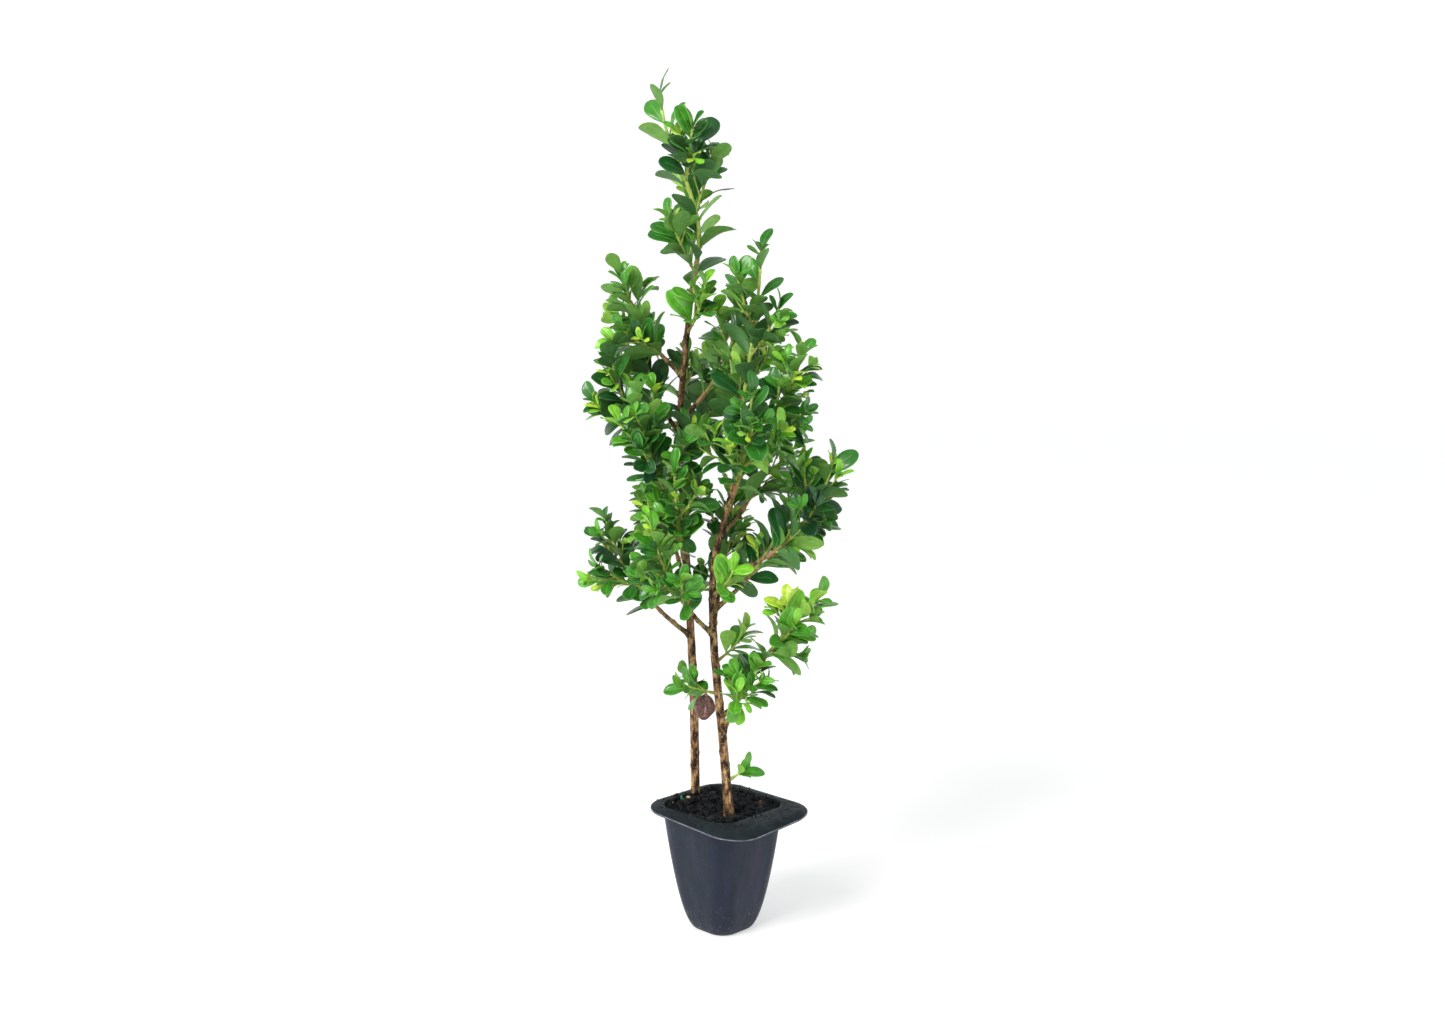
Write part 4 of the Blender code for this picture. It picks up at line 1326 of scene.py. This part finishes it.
def peat_ball():
    """The root ball's mesh: a tapered plug with a rough top."""
    inset = POT_WALL + GAP
    inner = pot_half(FLOOR_HEIGHT) - inset - 2 * FLOOR_ROUND
    rings = [square_ring(inner, pot_corner(FLOOR_HEIGHT) - POT_WALL, FLOOR_HEIGHT + GAP)]
    for k in range(1, PLUG_RINGS + 1):
        h = FLOOR_HEIGHT + (SOIL_TOP - SOIL_EDGE - FLOOR_HEIGHT) * k / PLUG_RINGS
        rings.append(wall_ring(h, inset))
    rings = [even_ring(ring) for ring in rings]
    half = pot_half(SOIL_TOP) - inset - SOIL_EDGE / 3
    edge = even_ring(square_ring(half, pot_corner(SOIL_TOP) - inset, SOIL_TOP))
    for k in range(SOIL_RINGS):
        share = 1 - k / SOIL_RINGS
        drop = SOIL_EDGE * EDGE_DROP * share ** EDGE_POWER
        flat = [(point.x * share, point.y * share) for point in edge]
        rings.append([Vector((x, y, soil_height(x, y) - drop)) for x, y in flat])
    return loft(rings)


def add_peat(pot):
    """The root ball: dark fibrous peat, its top rough, with crumbs, fibres, chips and specks."""
    body = Kind()
    body.add(peat_ball())
    body.piece("peat_ball", "peat", [peat_material("peat_dark", PEAT_COLOURS["crumb_black"])], ("soil",))
    rng = random.Random("peat")
    shape = ball(2)
    crumbs = Kind()

    def scatter(place, size, looks):
        rough, colours = looks
        crumbs.add(lump(rng, shape, place, size, rough), rng.choice(colours))

    for _ in range(CRUMBS):
        x, y = on_soil(rng)
        radius = CRUMB_RADIUS[0] + (CRUMB_RADIUS[1] - CRUMB_RADIUS[0]) * rng.random() ** 3
        place = Vector((x, y, soil_height(x, y) + radius * rng.uniform(*CRUMB_LIFT)))
        scatter(place, [radius * rng.uniform(*CRUMB_SWAY) for _ in range(3)], CRUMB_LOOKS)
    for _ in range(CHIPS):
        x, y = on_soil(rng)
        length = rng.uniform(*CHIP_LENGTH) * MM
        place = Vector((x, y, soil_height(x, y) + CHIP_LIFT))
        size = (length, length * rng.uniform(*CHIP_WIDE), length * rng.uniform(*CHIP_THICK))
        scatter(place, size, CHIP_LOOKS)
    for _ in range(SPILLED):
        place = on_rim(rng, pot)
        radius = rng.uniform(*SPILL_RADIUS)
        size = (radius, radius * rng.uniform(*SPILL_WIDE), radius * SPILL_THICK)
        scatter(place + UP * size[2] * SPILL_LIFT, size, SPILL_LOOKS)
    crumbs.piece("peat_crumbs", "peat", [peat_material(*row) for row in PEAT_COLOURS.items()])
    add_fibres(rng)
    for name, x, y, size, colour in SPECKS:
        kind = Kind()
        place = Vector((x * MM, y * MM, soil_height(x * MM, y * MM) + SPECK_LIFT * size[2] * MM))
        kind.add(lump(rng, ball(3), place, [s * MM for s in size], SPECK_ROUGH))
        kind.piece("speck_" + name, "peat", [mottled("speck_" + name, colour, SPECK_LOOK)])


def add_fibres(rng):
    """Thin root and peat fibres that lie over the crumbs."""
    kind = Kind()
    for _ in range(FIBRES):
        x, y = on_soil(rng)
        heading = rng.uniform(0, tau)
        length = rng.uniform(*FIBRE_LENGTH)
        points = []
        for _ in range(FIBRE_POINTS):
            points.append(Vector((x, y, soil_height(x, y) + rng.uniform(*FIBRE_LIFT) * MM)))
            heading += rng.uniform(-FIBRE_BEND, FIBRE_BEND)
            x += cos(heading) * length / (FIBRE_POINTS - 1)
            y += sin(heading) * length / (FIBRE_POINTS - 1)
            x *= FIBRE_INWARD
            y *= FIBRE_INWARD
        line = smooth_route(points, 2)
        fibre = tube(Limb(line, [FIBRE_RADIUS * rng.uniform(*FIBRE_SWAY)] * len(line)), 4)
        kind.add(fibre, rng.choice(FIBRE_SLOTS))
    kind.piece("peat_fibres", "peat", [peat_material(*row) for row in FIBRE_COLOURS.items()])


def linear(colour):
    """An sRGB colour of 0 to 255 as linear light."""
    made = []
    for value in colour:
        share = value / 255
        made.append(share / 12.92 if share <= 0.04045 else ((share + 0.055) / 1.055) ** 2.4)
    return (*made, 1.0)


def shaded(colour, share):
    return tuple(min(value * share, 255) for value in colour)


class Matter:
    """A procedural material: one Principled shader, and fields of noise that vary it."""

    def __init__(self, name, roughness):
        self.material = bpy.data.materials.new(name)
        self.material.use_nodes = True
        self.nodes = self.material.node_tree.nodes
        self.shader = self.nodes["Principled BSDF"]
        self.put(self.shader, {"Roughness": roughness})
        self.place = self.node("TexCoord", {}).outputs["Object"]

    def put(self, node, inputs):
        """Give inputs of a node a value or a link."""
        for name, value in inputs.items():
            if isinstance(value, bpy.types.NodeSocket):
                self.material.node_tree.links.new(value, node.inputs[name])
            else:
                node.inputs[name].default_value = value

    def node(self, kind, inputs):
        made = self.nodes.new("ShaderNode" + kind)
        self.put(made, inputs)
        return made

    def field(self, cell, detail=3.0, upright=1):
        """Noise with cells of a size in metres, drawn out upright by a small share."""
        scale = [1 / cell, 1 / cell, upright / cell]
        spread = self.node("Mapping", {"Vector": self.place, "Scale": scale}).outputs["Vector"]
        return self.node("TexNoise", {"Vector": spread, "Scale": 1.0, "Detail": detail}).outputs["Fac"]

    def ramp(self, field, steps, colours):
        """A colour for each value of a field."""
        node = self.node("ValToRGB", {"Fac": field})
        row = node.color_ramp.elements
        while len(row) < len(steps):
            row.new(0.5)
        for element, position, colour in zip(row, steps, colours):
            element.position = position
            element.color = linear(colour)
        return node.outputs["Color"]

    def span(self, field, low, high, start=0.3, end=0.7):
        """A field spread between two numbers."""
        limits = {"From Min": start, "From Max": end, "To Min": low, "To Max": high}
        return self.node("MapRange", {"Value": field, **limits}).outputs["Result"]

    def mixed(self, factor, first, second):
        node = self.nodes.new("ShaderNodeMix")
        node.data_type = "RGBA"
        self.put(node, {0: factor, 6: first, 7: second})
        return node.outputs[2]

    def layered(self, base, layer, fade=None):
        """A base colour with a layer over part of it, less of it where it fades."""
        cloud = self.field(layer.cell, layer.detail, layer.upright)
        factor = self.span(cloud, layer.least, layer.share, layer.start, layer.end)
        if fade:
            node = self.node("Math", {0: factor, 1: fade})
            node.operation = "MULTIPLY"
            factor = node.outputs["Value"]
        return self.mixed(factor, base, linear(layer.colour))

    def height(self):
        """Height above the surface that the pot stands on."""
        return self.node("SeparateXYZ", {"Vector": self.place}).outputs["Z"]

    def finished(self, colour, surface):
        """The material with its colour, and with a surface's reflection, roughness and relief."""
        bump = self.node("Bump", {
            "Height": self.field(*surface.relief), "Distance": surface.depth, "Strength": surface.strength})
        self.put(self.shader, {
            "Base Color": colour, "Specular IOR Level": surface.shine, "Normal": bump.outputs["Normal"],
            "Roughness": self.span(self.field(*surface.grain), *surface.rough)})
        return self.material


def mottled(name, colour, look, more=None):
    """A colour that varies darker and lighter in small patches, on a slightly uneven surface."""
    matter = Matter(name, sum(look.rough) / 2)
    shades = [shaded(colour, share) for share in (1 - look.sway, 1, 1 + look.sway)]
    patches = matter.ramp(matter.field(look.cell), MOTTLED_STEPS, shades)
    matter.finished(patches, Surface(0.5, (look.cell / 2,), look.rough, (look.relief,), look.depth))
    matter.put(matter.shader, more or {})
    return matter.material


def leaf_materials(tone):
    """Upper side, underside, rib and margin of one tone: glossy above, matt and paler below, margin a painted
    highlight.
    """
    # Pale: the rib's own paler colour, and on the margin a painted highlight.
    pale_rib_and_lit_edge = tuple((a + b) / 2 * PALER for a, b in zip(tone.top, tone.under))
    sides = (
        ("top", tone.top, LEAF_TOP, LEAF_GLOSS), ("under", tone.under, LEAF_UNDER, LEAF_BODY),
        ("rib", pale_rib_and_lit_edge, LEAF_RIB), ("margin", pale_rib_and_lit_edge, LEAF_LIT_EDGE))
    return [mottled(f"leaf_{tone.name}_{side}", *look) for side, *look in sides]


def bark_material(name, low, high):
    """Dry bark: tan and brown patches with painted light and shade, browner further up, streaked, flecked and
    pitted, damp at the soil.
    """
    matter = Matter(name, 0.85)
    # Ramps of patches from painted lit crests to painted shade in the cracks, low and high.
    low, high = (matter.ramp(matter.field(*BARK_PATCHES), BARK_STEPS, colours) for colours in (low, high))
    base = matter.mixed(matter.span(matter.height(), 0, 1, *BARK_HEIGHTS), low, high)
    for layer in BARK_LAYERS:
        base = matter.layered(base, layer)
    base = matter.layered(base, BARK_DAMP, matter.span(matter.height(), 1, 0, *DAMP_HEIGHTS))
    return matter.finished(base, BARK_SURFACE)


def peat_material(name, colour):
    """Damp peat: near black, with brown crumbs and a little shine in the hollows."""
    matter = Matter(name, 0.8)
    shades = [shaded(colour, share) for share in PEAT_SHADES]
    base = matter.ramp(matter.field(*PEAT_SURFACE.grain), PEAT_STEPS, shades)
    base = matter.layered(base, Layer(shaded(colour, 0.5), *PEAT_FINE))
    return matter.finished(base, PEAT_SURFACE)


def pot_body_material():
    """Thin moulded plastic: dark blue grey with faint upright streaks and pale scuffs at the foot."""
    matter = Matter("pot_body", 0.45)
    base = matter.ramp(matter.field(*POT_STREAKS), POT_STEPS, POT_COLOURS)
    base = matter.layered(base, POT_TINT)
    base = matter.layered(base, POT_SCUFFS, matter.span(matter.height(), *SCUFF_FADE))
    return matter.finished(base, POT_SURFACE)


def pot_rim_material():
    """The rim's upper face: dull, green grey, dusted with peat."""
    matter = Matter("pot_rim", 0.6)
    base = matter.ramp(matter.field(RIM_PATCH), POT_STEPS, RIM_COLOURS)
    return matter.finished(matter.layered(base, RIM_DUST), RIM_SURFACE)


def add_stage():
    """A white floor that curves up into a round wall, so that every view has the same backdrop."""
    profile = [(FLOOR_REACH, 0.0)]
    for step in range(1, STAGE_STEPS + 1):
        angle = radians(90) * step / STAGE_STEPS
        profile.append((FLOOR_REACH + STAGE_BEND * sin(angle), STAGE_BEND * (1 - cos(angle))))
    profile.append((FLOOR_REACH + STAGE_BEND, STAGE_TOP))
    verts = [Vector((0, 0, 0))]
    for radius, height in profile:
        for s in range(STAGE_SIDES):
            turn = tau * s / STAGE_SIDES
            verts.append(Vector((radius * cos(turn), radius * sin(turn), height)))
    faces = []
    for s in range(STAGE_SIDES):
        t = (s + 1) % STAGE_SIDES
        faces.append((0, 1 + s, 1 + t))
        for k in range(len(profile) - 1):
            near = 1 + k * STAGE_SIDES
            far = near + STAGE_SIDES
            faces.append((near + s, far + s, far + t, near + t))
    matter = Matter("backdrop", 0.9)
    matter.put(matter.shader, {
        "Base Color": linear(STAGE_COLOUR), "Specular IOR Level": 0.1,
        "Emission Color": (1, 1, 1, 1), "Emission Strength": STAGE_GLOW})
    backdrop = mesh_object("backdrop", verts, faces, [matter.material])


def aimed(thing, place, target):
    """Put a light or the camera at a place, looking at a target."""
    thing.location = place
    thing.rotation_euler = (Vector(target) - Vector(place)).to_track_quat("-Z", "Y").to_euler()
    bpy.context.scene.collection.objects.link(thing)


def add_lights():
    """Soft daylight: a white sky, a broad light from the upper front left, a weaker one from the right."""
    world = bpy.data.worlds.new("sky")
    world.use_nodes = True
    sky = world.node_tree.nodes["Background"]
    sky.inputs["Color"].default_value = SKY_COLOUR
    sky.inputs["Strength"].default_value = SKY_STRENGTH
    bpy.context.scene.world = world
    for name, place, size, power, colour in LIGHTS:
        lamp = bpy.data.lights.new(name, "AREA")
        lamp.size = size
        lamp.energy = power
        lamp.color = colour
        aimed(bpy.data.objects.new(name, lamp), place, LIGHT_TARGET)
    bpy.context.scene.view_settings.view_transform = "Standard"


def add_camera():
    camera = bpy.data.cameras.new("camera")
    camera.sensor_width = SENSOR
    camera.lens = LENS
    holder = bpy.data.objects.new("camera", camera)
    aimed(holder, CAMERA_AT, CAMERA_TARGET)
    bpy.context.scene.camera = holder


add_stage()
add_lights()
add_camera()
add_peat(add_pot())
boughs, masses = grow_plant()
add_bark(boughs)
add_shoots(masses)
add_leaves(masses)
add_dead_leaf(masses)
